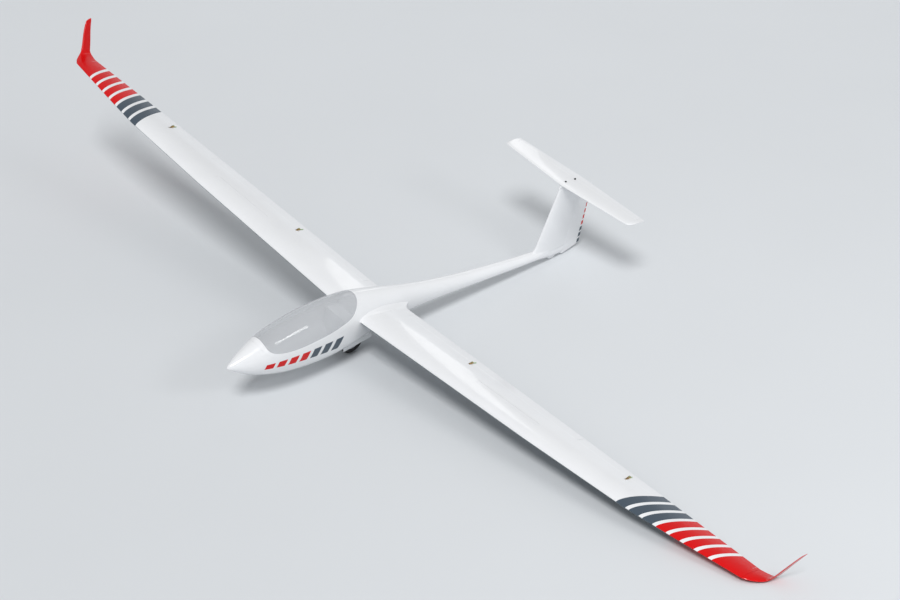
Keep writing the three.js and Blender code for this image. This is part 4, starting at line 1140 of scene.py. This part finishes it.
class SAILPLANE_OT_tail(bpy.types.Operator):
    """Rudder, tailplane, elevator, bolts and skid."""
    bl_idname = "sailplane.tail"
    bl_label = "Tail"

    def execute(self, context):
        rudder = rudder_body()
        paint(rudder, rudder_axes(), RUDDER["foot"], [(*block, either_side) for block in rudder_blocks()])
        finish_piece(rudder, "rudder_moulding", "rudder", "rudder", "white_gelcoat")
        self.tailplane()
        self.elevator()
        for name in ("front", "rear"):
            foot, top = (tail_place(0.0, float(TAIL_BOLTS[name]), float(TAIL_BOLTS[end]))
                         for end in ("foot", "top"))
            bolt = socket_head(foot, top, TAIL_BOLTS["radius"])
            finish_piece(bolt, f"tail_bolt_{name}", "root", f"tailplane_bolt_{name}", "black_steel")
        front, rear, wide = 1500, 1640, 20
        upper_half = box((front, -wide, SKID["z"]), (rear, wide, 0))
        disc = combine(skid_disc(), "DIFFERENCE", upper_half)
        finish_piece(disc, "tail_skid_shoe", "root", "tail_skid", "white_gelcoat")
        return {"FINISHED"}

    @staticmethod
    def tailplane():
        """The whole section without the elevator's space, a cove and a block, and the bolts' holes."""
        half, hinge = ELEVATOR["half_span"], ELEVATOR["hinge"]
        y = np.array([-half - END_GAP, 0, half + END_GAP])[:, None]
        reach = elevator_size(np.clip(y, -half, half))[1] + HINGE_GAP
        ahead, rise = arc(np.pi / 2, 1.5 * np.pi, 19)
        cove = tail_place(y, hinge + reach * ahead, reach * rise)
        behind, clear = 60, 20
        steps = np.array([[0, -clear], [behind, -clear], [behind, clear], [0, clear]], float)
        block = tail_place(y, hinge + steps[None, :, 0], steps[None, :, 1])
        tail = combine(tail_body(), "DIFFERENCE", loft(np.concatenate([cove, block], axis=1)))
        for name in ("front", "rear"):
            ends = [tail_place(0.0, float(TAIL_BOLTS[name]), up)
                    for up in (TAIL_BOLTS["foot"] - FIT, TAIL_BOLTS["hole_top"])]
            combine(tail, "DIFFERENCE", rod(*ends, TAIL_BOLTS["radius"] + FIT, 32))
        finish_piece(tail, "tailplane_moulding", "root", "tailplane", "white_gelcoat")

    @staticmethod
    def elevator():
        """Half a circle about the hinge, then the tailplane's own section to the rear."""
        kink = TAIL[1, 0]
        y = tail_stations(np.linspace(0, kink, 9), np.linspace(kink + 3, ELEVATOR["half_span"], 4))
        c, radius = elevator_size(y)
        ahead, rise = arc(1.5 * np.pi, np.pi / 2, 19)
        nose = tail_place(y, ELEVATOR["hinge"] + radius * ahead, radius * rise)
        share = np.array([0.01, 0.15, 0.3, 0.5, 0.7, 0.88, 1.0])[None, :]
        steps = c + share * (1 - c)
        upper = tail_point(y, steps, 1)
        lower = tail_point(y, steps, -1)[:, ::-1]
        elevator = loft(np.concatenate([nose, upper, lower], axis=1))
        finish_piece(elevator, "elevator_moulding", "elevator", "elevator", "white_gelcoat")


# Wings

def band(outer, inner):
    """A band's outline between two straight lines, carried past both edges of the wing. A line goes
    from a span station at the leading edge to one at the trailing edge."""
    def line(front, rear):
        """A line's two ends, each a fifth of its length past the wing's edge."""
        first = wing_columns(front)[0]
        leading, chord, _ = wing_columns(rear)
        start, end = np.array([first, front]), np.array([leading + chord, rear])
        past = 0.2 * (end - start)
        return start - past, end + past

    return np.array([*line(*outer), *line(*inner)[::-1]])


def wing_stripes(stripes):
    """The red tip and the slanted bands inboard of it: four red, then grey."""
    yield RED, band(OUTBOARD, TIP_ABOVE)
    for number in range(stripes.wing_count):
        front, rear = (first - pitch * number for first, pitch in zip(BAND_FIRST, BAND_PITCH))
        inner = (front - stripes.wing_width, rear - BAND_REAR_WIDTH)
        yield (RED if number < RED_BLOCKS else GREY), band((front, rear), inner)


def on_skin(level):
    """A test for the faces of the wing's upper (1) or lower (-1) side, whose centre is within a
    millimetre of it by the section's formula and which look up or down, with the round nose and the
    end face that the winglet stands against. The blunt rear edge is neither."""
    reach, facing, nose, end_face = 1.0, 0.2, 0.05, WING[-1, 0] - 0.1

    def test(centres, normals, places):
        """Whether each face is on that side."""
        aft, s, up = places.T
        leading, chord, ratio = wing_columns(s)
        c = np.clip((aft - leading) / chord, 0, 1)
        over = up - camber(c) * chord
        near = np.abs(over - level * half_depth(c, ratio, chord)) < reach
        near &= level * normals[:, 2] > facing
        return (near | (c < nose)) & (level * over > 0) | (s > end_face)

    return test


def paint_wing(body, side, stripes):
    """Bands above; slate below as far as the red tip."""
    upper, lower = on_skin(1), on_skin(-1)
    patches = [(*stripe, upper) for stripe in wing_stripes(stripes)]
    patches += [(SLATE, band(TIP_BELOW, INBOARD), lower), (RED, band(OUTBOARD, TIP_BELOW), lower)]
    paint(body, wing_axes(side), wing_origin(side), patches)


class SAILPLANE_OT_wings(bpy.types.Operator):
    """Wing panels, flaps, ailerons, airbrakes and winglets."""
    bl_idname = "sailplane.wings"
    bl_label = "Wings"

    def execute(self, context):
        stripes = context.scene.sailplane_stripes
        for side, hand in SIDES:
            coves = [cove_cutter(side, surface) for surface in (FLAP, AILERON)]
            ports = [self.port(side, surface, station) for surface, station, _ in LINKS.values()]
            panel = combine(wing_body(side), "DIFFERENCE", *coves, *self.brake_space(side), *ports)
            paint_wing(panel, side, stripes)
            finish_piece(panel, f"wing_skin_{hand}", "root", f"wing_panel_{hand}", "white_gelcoat")
            for name, (surface, station, _) in LINKS.items():
                slit = self.slit(side, surface, station)
                moving = combine(control_surface(side, surface), "DIFFERENCE", slit)
                paint_wing(moving, side, stripes)
                node = f"{name}_{hand}"
                finish_piece(moving, f"{name}_skin_{hand}", node, node, "white_gelcoat")
            self.airbrake(side, hand)
            winglet = self.winglet(side)
            finish_piece(winglet, f"winglet_moulding_{hand}", "root", f"winglet_{hand}", "red_gelcoat")
        return {"FINISHED"}

    @staticmethod
    def port(side, surface, station):
        """The opening ahead of a horn that its pushrod comes out of."""
        seat = link_seat(surface, station)
        outline = PORT_OUTLINE + [0, seat[2]]
        return wing_prism(side, station, seat, outline, -PORT_WIDTH / 2, PORT_WIDTH / 2)

    @staticmethod
    def slit(side, surface, station):
        """The slit in a control surface that its horn is glued into, open above."""
        seat = link_seat(surface, station)
        front, rear = HORN["front"] - FIT, HORN["foot"] + FIT
        low, high = seat[2] - HORN["slit"] - FIT, seat[2] + 4
        half = HORN["thick"] / 2 + FIT
        outline = [(front, low), (rear, low), (rear, high), (front, high)]
        return wing_prism(side, station, seat, outline, -half, half)

    @staticmethod
    def brake_space(side):
        """The cap's recess in the upper side, and the slot under it that the blades sink into."""
        half = AIRBRAKE["cap_width"] / 2
        slot = BLADE["thick"] + 1.5 * BLADE["clearance"]
        slot_end, over, under = 6, -4, 2
        deep = BLADE["height"] + AIRBRAKE["cap_thick"] + under
        recess = airbrake_bar(side, 0, over, AIRBRAKE["cap_thick"] + FIT, -half, half)
        return recess, airbrake_bar(side, slot_end, over, deep, -slot, slot)

    @staticmethod
    def airbrake(side, hand):
        """The cap with the upper blade under it, and the lower blade behind that one."""
        thick, gap = AIRBRAKE["cap_thick"], AIRBRAKE["cap_gap"]
        half = AIRBRAKE["cap_width"] / 2 - gap
        near = BLADE["clearance"] / 2
        far = near + BLADE["thick"]
        cap = airbrake_bar(side, gap, 0, thick, -half, half)
        combine(cap, "UNION", airbrake_bar(side, BLADE["end"], thick - 0.1, BLADE["height"], -far, -near))
        finish_piece(cap, f"airbrake_cap_{hand}", f"airbrake_upper_{hand}", f"airbrake_upper_blade_{hand}",
                     "white_gelcoat")
        blade = airbrake_bar(side, BLADE["end"], thick + BLADE["clearance"], BLADE["height"], near, far)
        finish_piece(blade, f"airbrake_blade_{hand}", f"airbrake_lower_{hand}",
                     f"airbrake_lower_blade_{hand}", "turned_aluminium")

    @staticmethod
    def winglet(side):
        """Sections along an arc that bends up from the wing's end: the span direction turns through the
        cant angle, and its running sum gives each section's place."""
        d = np.unique(np.concatenate([np.linspace(*span) for span in WINGLET_SPANS]))
        leading, chord, cant = smooth(WINGLET, d, steady=True).T
        angle = np.radians(cant)
        mean = (angle[1:] + angle[:-1]) / 2
        step = np.diff(d)
        y = np.concatenate([[d[0]], d[0] + np.cumsum(step * np.cos(mean))])[:, None]
        z = np.concatenate([[0], np.cumsum(step * np.sin(mean))])[:, None]
        leading, chord, angle = leading[:, None], chord[:, None], angle[:, None]
        tip = wing_place(side, WING[-1, 0], 0.0, 0.0)
        turn = WING_ROOT["incidence"]
        c = chord_steps(26)

        def skin(level):
            """Upper (1) or lower (-1) side: the wing's kind of section, leaned by the cant angle."""
            up = camber(c) * chord + level * half_depth(c, WINGLET_THICK, chord)
            aft = leading + c * chord
            return np.stack([
                tip[0] + aft * np.cos(turn) + up * np.cos(angle) * np.sin(turn),
                tip[1] + side * (y - up * np.sin(angle)),
                tip[2] + z - aft * np.sin(turn) + up * np.cos(angle) * np.cos(turn)], axis=-1)

        return loft(around(skin(1), skin(-1)))


class SAILPLANE_OT_fittings(bpy.types.Operator):
    """Servo covers, horns and pushrods."""
    bl_idname = "sailplane.fittings"
    bl_label = "Wing fittings"

    def execute(self, context):
        for side, hand in SIDES:
            for name, station, blister in COVERS:
                cover = self.cover(side, station, blister)
                node = f"{name}_servo_cover_{hand}"
                finish_piece(cover, f"{name}_cover_{hand}", "root", node, "slate_abs")
            for name, (surface, station, lean) in LINKS.items():
                self.link(side, hand, name, surface, station, lean)
        return {"FINISHED"}

    @staticmethod
    def cover(side, station, blister):
        """A plate with rounded corners on the underside, drawn as rings of a rounded square that grow
        from its middle. Some swell into a drop over the servo arm: along it, width and height are the
        square root of the share from its front times a power of what is left, and across it the
        height is half an ellipse."""
        leading, chord, _ = wing_columns(station)
        middle = leading + COVER["chord_at"] * chord
        angle = np.linspace(0, 2 * np.pi, 96, endpoint=False)
        corner = COVER["corner"]
        reach = (np.abs(np.cos(angle)) ** corner + np.abs(np.sin(angle)) ** corner) ** (-1 / corner)
        size = np.concatenate([np.linspace(0.02, 0.9, 22), [0.95, 0.98, 0.995, 1.0]])
        across = size[:, None] * reach * np.cos(angle) * COVER["span"] / 2
        along = size[:, None] * reach * np.sin(angle) * COVER["chord"] / 2
        rim = COVER["thick"] * (1 - size[:, None] ** COVER["edge"]) ** 0.5
        drop = np.zeros_like(across)
        if blister:
            aft = along / COVER["chord"]
            share = np.clip((aft + DROP["ahead"]) / DROP["length"], 0, 1)
            width = np.sqrt(share) * (1 - share) ** 0.75 * DROP["scale"] * DROP["width"] / 2
            out = (across + COVER["span"] / 6) / np.maximum(width, 0.5)
            drop = DROP["height"] * np.sqrt(share) * (1 - share) ** 0.8 * DROP["scale"]
            drop = drop * np.sqrt(np.clip(1 - out**2, 0, 1))
        s = station + across
        base = wing_columns(s)
        c = (middle + along - base[0]) / base[1]
        lower = wing_point(side, s, c, -1, -FIT - rim - drop)
        upper = wing_point(side, s, c, -1, np.full_like(c, -FIT))
        return loft(np.concatenate([lower, upper[::-1][1:]], axis=0))

    @staticmethod
    def link(side, hand, name, surface, station, lean):
        """A horn, round about its eye, and the clevis on it with its rod: two jaws, the bridge that
        joins them and a bar that slopes down ahead."""
        seat = link_seat(surface, station)
        rise = seat[2]
        eye = np.array([lean, HORN["eye"] + rise])
        turn = np.linspace(-0.35 * np.pi, 1.1 * np.pi, 22)
        head = eye + HORN["head"] * np.column_stack([np.cos(turn), np.sin(turn)])
        foot = [(HORN["front"], rise + 0.8), (HORN["front"], rise - HORN["slit"]),
                (HORN["foot"], rise - HORN["slit"]), (HORN["foot"], rise + 0.6)]
        half = HORN["thick"] / 2
        horn = wing_prism(side, station, seat, np.vstack([head, foot]), -half, half)
        finish_piece(horn, f"{name}_horn_plate_{hand}", f"{name}_{hand}", f"{name}_horn_{hand}",
                     "glass_laminate")
        slope = ROD["slope"]
        back = np.array([-np.cos(slope), -np.sin(slope)])
        lift = np.array([-np.sin(slope), np.cos(slope)])

        def along(distance, height):
            """Distances from the eye along the rod and heights over its line."""
            return eye + np.multiply.outer(distance, back) + np.multiply.outer(height, lift)

        clevis, bridge, tall = ROD["clevis"], ROD["bridge"], ROD["half_height"]
        inner = half + ROD["jaw_gap"]
        outer = inner + ROD["jaw"]
        turn = np.linspace(0.5 * np.pi, 1.5 * np.pi, 13)
        nose = along(2.4 * np.cos(turn) - 0.6, tall * np.sin(turn))
        jaw = np.vstack([along(clevis, tall), nose, along(clevis, -tall)])
        block = along([bridge, bridge, clevis, clevis], [tall, -tall, -tall, tall])
        ends = [along(clevis - 1, 0), along(ROD["length"], 0)]
        start, end = [wing_place(side, float(station), seat[0] + p[0], seat[1] + p[1]) for p in ends]
        fork = combine(
            wing_prism(side, station, seat, jaw, -outer, -inner), "UNION",
            wing_prism(side, station, seat, jaw, inner, outer),
            wing_prism(side, station, seat, block, -outer, outer), rod(start, end, ROD["radius"], 20))
        node = f"{name}_pushrod_{hand}"
        finish_piece(fork, f"{name}_clevis_{hand}", node, node, "brass_fitting")


# Undercarriage

class SAILPLANE_OT_wheel(bpy.types.Operator):
    """Tyre, hub, axle and leg."""
    bl_idname = "sailplane.wheel"
    bl_label = "Wheel"

    def execute(self, context):
        self.tyre()
        self.hub()
        self.axle()
        self.leg()
        return {"FINISHED"}

    @staticmethod
    def tyre():
        """A lathe body whose section runs from one bead over the tread to the other and back inside.
        Each groove is a bell curve."""
        half, rim, radius = WHEEL["width"] / 2, WHEEL["rim"], WHEEL["radius"]
        corners = both_sides(np.array([
            [-half * WHEEL["bead"], rim], [-half * 0.93, rim + 6], [-half, radius - 9],
            [-half * 0.72, radius - 3.5], [-half * 0.28, radius]]))
        section = smooth(np.column_stack([np.arange(10), corners]), np.linspace(0, 9, 91))
        section[:, 1] = np.minimum(section[:, 1], radius)
        for groove in GROOVES["across"]:
            near = np.exp(-((section[:, 0] - groove) / GROOVES["half_width"]) ** 2)
            section[:, 1] -= GROOVES["depth"] * (near * (section[:, 1] > radius - GROOVES["tread"]))
        section[:, 0] += half
        rings = turned(section, *cross_line(WHEEL["x"], WHEEL["z"], -half, half), 96)
        tyre = loft(rings, closed_ring=True)
        finish_piece(tyre, "wheel_tyre_moulding", "main_wheel", "tyre", "wheel_tyre")

    @staticmethod
    def hub():
        """A lathe hub with a web between boss and rim, and six round holes through the web."""
        rim, wide = WHEEL["rim"], WHEEL["hub_width"] / 2
        seat = WHEEL["width"] / 2 * WHEEL["bead"]
        profile = both_sides(np.array([
            [-wide - 2, AXLE["radius"] + FIT], [-wide - 2, 8.4], [-wide - 1.4, 9], [-wide + 4, 10],
            [-wide + 5, rim - 5], [-seat, rim - 3], [-seat, rim - FIT]]))
        hub = loft(turned(profile, *cross_line(WHEEL["x"], WHEEL["z"], 0, 1), 72), closed_ring=True)
        for number in range(HUB_HOLES["count"]):
            angle = 2 * np.pi / HUB_HOLES["count"] * number
            x = WHEEL["x"] + HUB_HOLES["circle"] * np.cos(angle)
            z = WHEEL["z"] + HUB_HOLES["circle"] * np.sin(angle)
            combine(hub, "DIFFERENCE", rod(*cross_line(x, z, -20, 20), HUB_HOLES["radius"], 28))
        finish_piece(hub, "wheel_hub_turning", "main_wheel", "wheel_hub", "turned_aluminium")

    @staticmethod
    def axle():
        """A bar with a six sided head at each end."""
        end = AXLE["length"] / 2
        axle = rod(*cross_line(WHEEL["x"], WHEEL["z"], -end, end), AXLE["radius"], 32)
        for side, _ in SIDES:
            line = cross_line(WHEEL["x"], WHEEL["z"], side * (end - 0.2), side * (end + AXLE["nut"]))
            combine(axle, "UNION", bevel(rod(*line, AXLE["nut_radius"], 6), 0.4))
        finish_piece(axle, "wheel_axle", "root", "axle", "black_steel")

    @staticmethod
    def leg():
        """Two side plates, each the outline round two circles, with slots that save weight, and the
        cross tube that they hang from."""
        thick, inner = LEG["thick"], WHEEL["width"] / 2 + LEG["gap"]
        low, high = np.array([WHEEL["x"], WHEEL["z"]]), np.array([LEG["pivot_x"], LEG["pivot_z"]])
        slant = np.arctan2(high[1] - low[1], high[0] - low[0])

        def outline_round(start, end, first, second):
            """Half a circle about each end, of its own radius."""
            lower = np.linspace(slant + np.pi / 2, slant + 1.5 * np.pi, 20)
            upper = np.linspace(slant - np.pi / 2, slant + np.pi / 2, 20)
            return np.vstack([
                start + first * np.column_stack([np.cos(lower), np.sin(lower)]),
                end + second * np.column_stack([np.cos(upper), np.sin(upper)])])

        outline = outline_round(low, high, LEG["foot_radius"], LEG["head_radius"])
        slot = outline_round(
            low + LEG["slot_from"] * (high - low), low + LEG["slot_to"] * (high - low),
            LEG["slot_radius"], LEG["slot_radius"])
        reach = WELL["half_width"] - FIT
        tube = rod(*cross_line(*high, -reach, reach), LEG["tube"], 32)
        for side, _ in SIDES:
            near = inner if side > 0 else -inner - thick
            plate = combine(
                side_prism(outline, near, near + thick), "DIFFERENCE",
                side_prism(slot, near - 1, near + thick + 1),
                rod(*cross_line(*low, -40, 40), AXLE["radius"] + FIT, 32))
            combine(tube, "UNION", bevel(plate, 0.35))
        finish_piece(tube, "gear_leg_plates", "root", "gear_leg", "turned_aluminium")


# Stage. Lights stand at a place from the object's middle in metres; a frame is 36 x 24 mm

FRAME_WIDTH, FRAME_HEIGHT = 36.0, 24.0
KEY = {"from": (-2.3, -2.1, 4.4), "strength": 1.95, "softness": np.radians(18)}
SOFT_BOXES = [
    ("side_box", (-1.0, -5.0, 2.6), 0.5, 3.4, 8), ("tail_box", (4.4, 3.0, 3.0), 0.6, 3.0, 7),
    ("canopy_box", (0.75, -4.4, 2.85), 1.7, 0.9, 42),
]
SKY = {"colour": (0.97, 0.985, 1.0), "strength": 0.42}
PAPER = {"level": 14.0, "arc": 11.0, "turn": np.radians(75), "sides": 96}


class SAILPLANE_OT_stage(bpy.types.Operator):
    """Pale floor, soft studio light and the camera."""
    bl_idname = "sailplane.stage"
    bl_label = "Stage"

    def execute(self, context):
        stage = context.scene.sailplane_stage
        low, high = (np.array(corner) for corner in CAD_BOX)
        self.camera(context.scene, stage)
        self.floor(low[2], stage)
        self.light((low + high) / 2)
        context.scene.view_settings.view_transform = "Standard"
        return {"FINISHED"}

    @staticmethod
    def floor(height, stage):
        """A level round sheet whose rim curves up, so that every side has a seamless background: the
        section is a straight line and then an arc."""
        turn = np.linspace(0, PAPER["turn"], 16)
        reach = np.concatenate([[0.01], PAPER["level"] + PAPER["arc"] * np.sin(turn)])[:, None]
        rise = np.concatenate([[0], PAPER["arc"] * (1 - np.cos(turn))])[:, None]
        sides = PAPER["sides"]
        angle = np.linspace(0, 2 * np.pi, sides, endpoint=False)
        x, y = reach * np.cos(angle), reach * np.sin(angle)
        points = np.stack([x, y, np.broadcast_to(height + rise, x.shape)], axis=-1).reshape(-1, 3)
        quads = ring_quads(len(reach) - 1, len(reach), sides)[:, [0, 3, 2, 1]]
        mesh = bpy.data.meshes.new("studio_floor")
        mesh.from_pydata(points.tolist(), [], [list(range(sides)), *quads.tolist()])
        mesh.shade_smooth()
        mesh.materials.append(floor_paper("studio_paper", stage.paper))
        in_scene(mesh)

    @staticmethod
    def light(middle):
        """An even pale sky, a broad soft light from the front left that reaches the whole floor alike,
        and soft boxes whose reflections lie along the mouldings and the canopy."""
        sun = bpy.data.lights.new("key", "SUN")
        sun.energy = KEY["strength"]
        sun.angle = KEY["softness"]
        lamps = [(sun, KEY["from"])]
        for name, place, width, length, power in SOFT_BOXES:
            lamp = bpy.data.lights.new(name, "AREA")
            lamp.energy = power
            lamp.shape = "RECTANGLE"
            lamp.size = width
            lamp.size_y = length
            lamps.append((lamp, place))
        for lamp, place in lamps:
            lamp_object = in_scene(lamp)
            lamp_object.location = middle + np.array(place)
            lamp_object.rotation_euler = Vector(np.negative(place)).to_track_quat("-Z", "Y").to_euler()
        world = bpy.data.worlds.new("studio")
        world.use_nodes = True
        background = world.node_tree.nodes["Background"]
        background.inputs["Color"].default_value = (*SKY["colour"], 1)
        background.inputs["Strength"].default_value = SKY["strength"]
        bpy.context.scene.world = world

    @staticmethod
    def camera(scene, stage):
        """Looks along the chosen direction from the nearest place where every point of the object is in
        the frame. Each side of the view is a plane through the camera, and the object touches the
        tighter pair: the two planes' distances add up to the camera's own distance, and their
        difference is its place across."""
        away = np.array([
            np.sin(stage.azimuth) * np.cos(stage.elevation),
            -np.cos(stage.azimuth) * np.cos(stage.elevation), np.sin(stage.elevation)])
        right = np.array([np.cos(stage.azimuth), np.sin(stage.azimuth), 0])
        above = np.cross(away, right)
        points = np.vstack([
            columns_of(piece.data.vertices, "co") for piece in scene.objects if piece.type == "MESH"])
        place, distance = np.zeros(3), 0.0
        for direction, half_frame in ((right, FRAME_WIDTH / 2), (above, FRAME_HEIGHT / 2)):
            slope = stage.fill * half_frame / stage.lens
            ahead = (points @ (direction + slope * away)).max()
            behind = (points @ (-direction + slope * away)).max()
            place += direction * (ahead - behind) / 2
            distance = max(distance, (ahead + behind) / (2 * slope))
        lens = bpy.data.cameras.new("studio_camera")
        lens.lens = stage.lens
        camera = in_scene(lens)
        camera.location = place + away * distance
        camera.rotation_euler = Vector(-away).to_track_quat("-Z", "Y").to_euler()
        scene.camera = camera


OPERATORS = [
    SAILPLANE_OT_finishes, SAILPLANE_OT_fuselage, SAILPLANE_OT_tail, SAILPLANE_OT_wings,
    SAILPLANE_OT_fittings, SAILPLANE_OT_wheel, SAILPLANE_OT_stage,
]
GROUPS = {
    "sailplane_paint": SailplanePaint, "sailplane_stripes": SailplaneStripes,
    "sailplane_stage": SailplaneStage,
}


class SAILPLANE_PT_panel(bpy.types.Panel):
    """Lists the steps in the order that they run in, and the settings."""
    bl_idname = "SAILPLANE_PT_panel"
    bl_label = "Sailplane"
    bl_space_type = "VIEW_3D"
    bl_region_type = "UI"
    bl_category = "Sailplane"

    def draw(self, context):
        for operator in OPERATORS:
            self.layout.operator(operator.bl_idname)
        for name, group in GROUPS.items():
            for key in group.__annotations__:
                self.layout.prop(getattr(context.scene, name), key)


CLASSES = [*GROUPS.values(), *OPERATORS, SAILPLANE_PT_panel]


def register():
    """Registers every class and gives the scene its settings."""
    for kind in CLASSES:
        bpy.utils.register_class(kind)
    for name, group in GROUPS.items():
        setattr(bpy.types.Scene, name, bpy.props.PointerProperty(type=group))


def unregister():
    """Takes the settings and the classes away again."""
    for name in GROUPS:
        delattr(bpy.types.Scene, name)
    for kind in reversed(CLASSES):
        bpy.utils.unregister_class(kind)


def main():
    """Builds everything in order."""
    register()
    bpy.ops.sailplane.finishes()
    bpy.ops.sailplane.fuselage()
    bpy.ops.sailplane.tail()
    bpy.ops.sailplane.wings()
    bpy.ops.sailplane.fittings()
    bpy.ops.sailplane.wheel()
    bpy.ops.sailplane.stage()


if __name__ == "__main__":
    main()
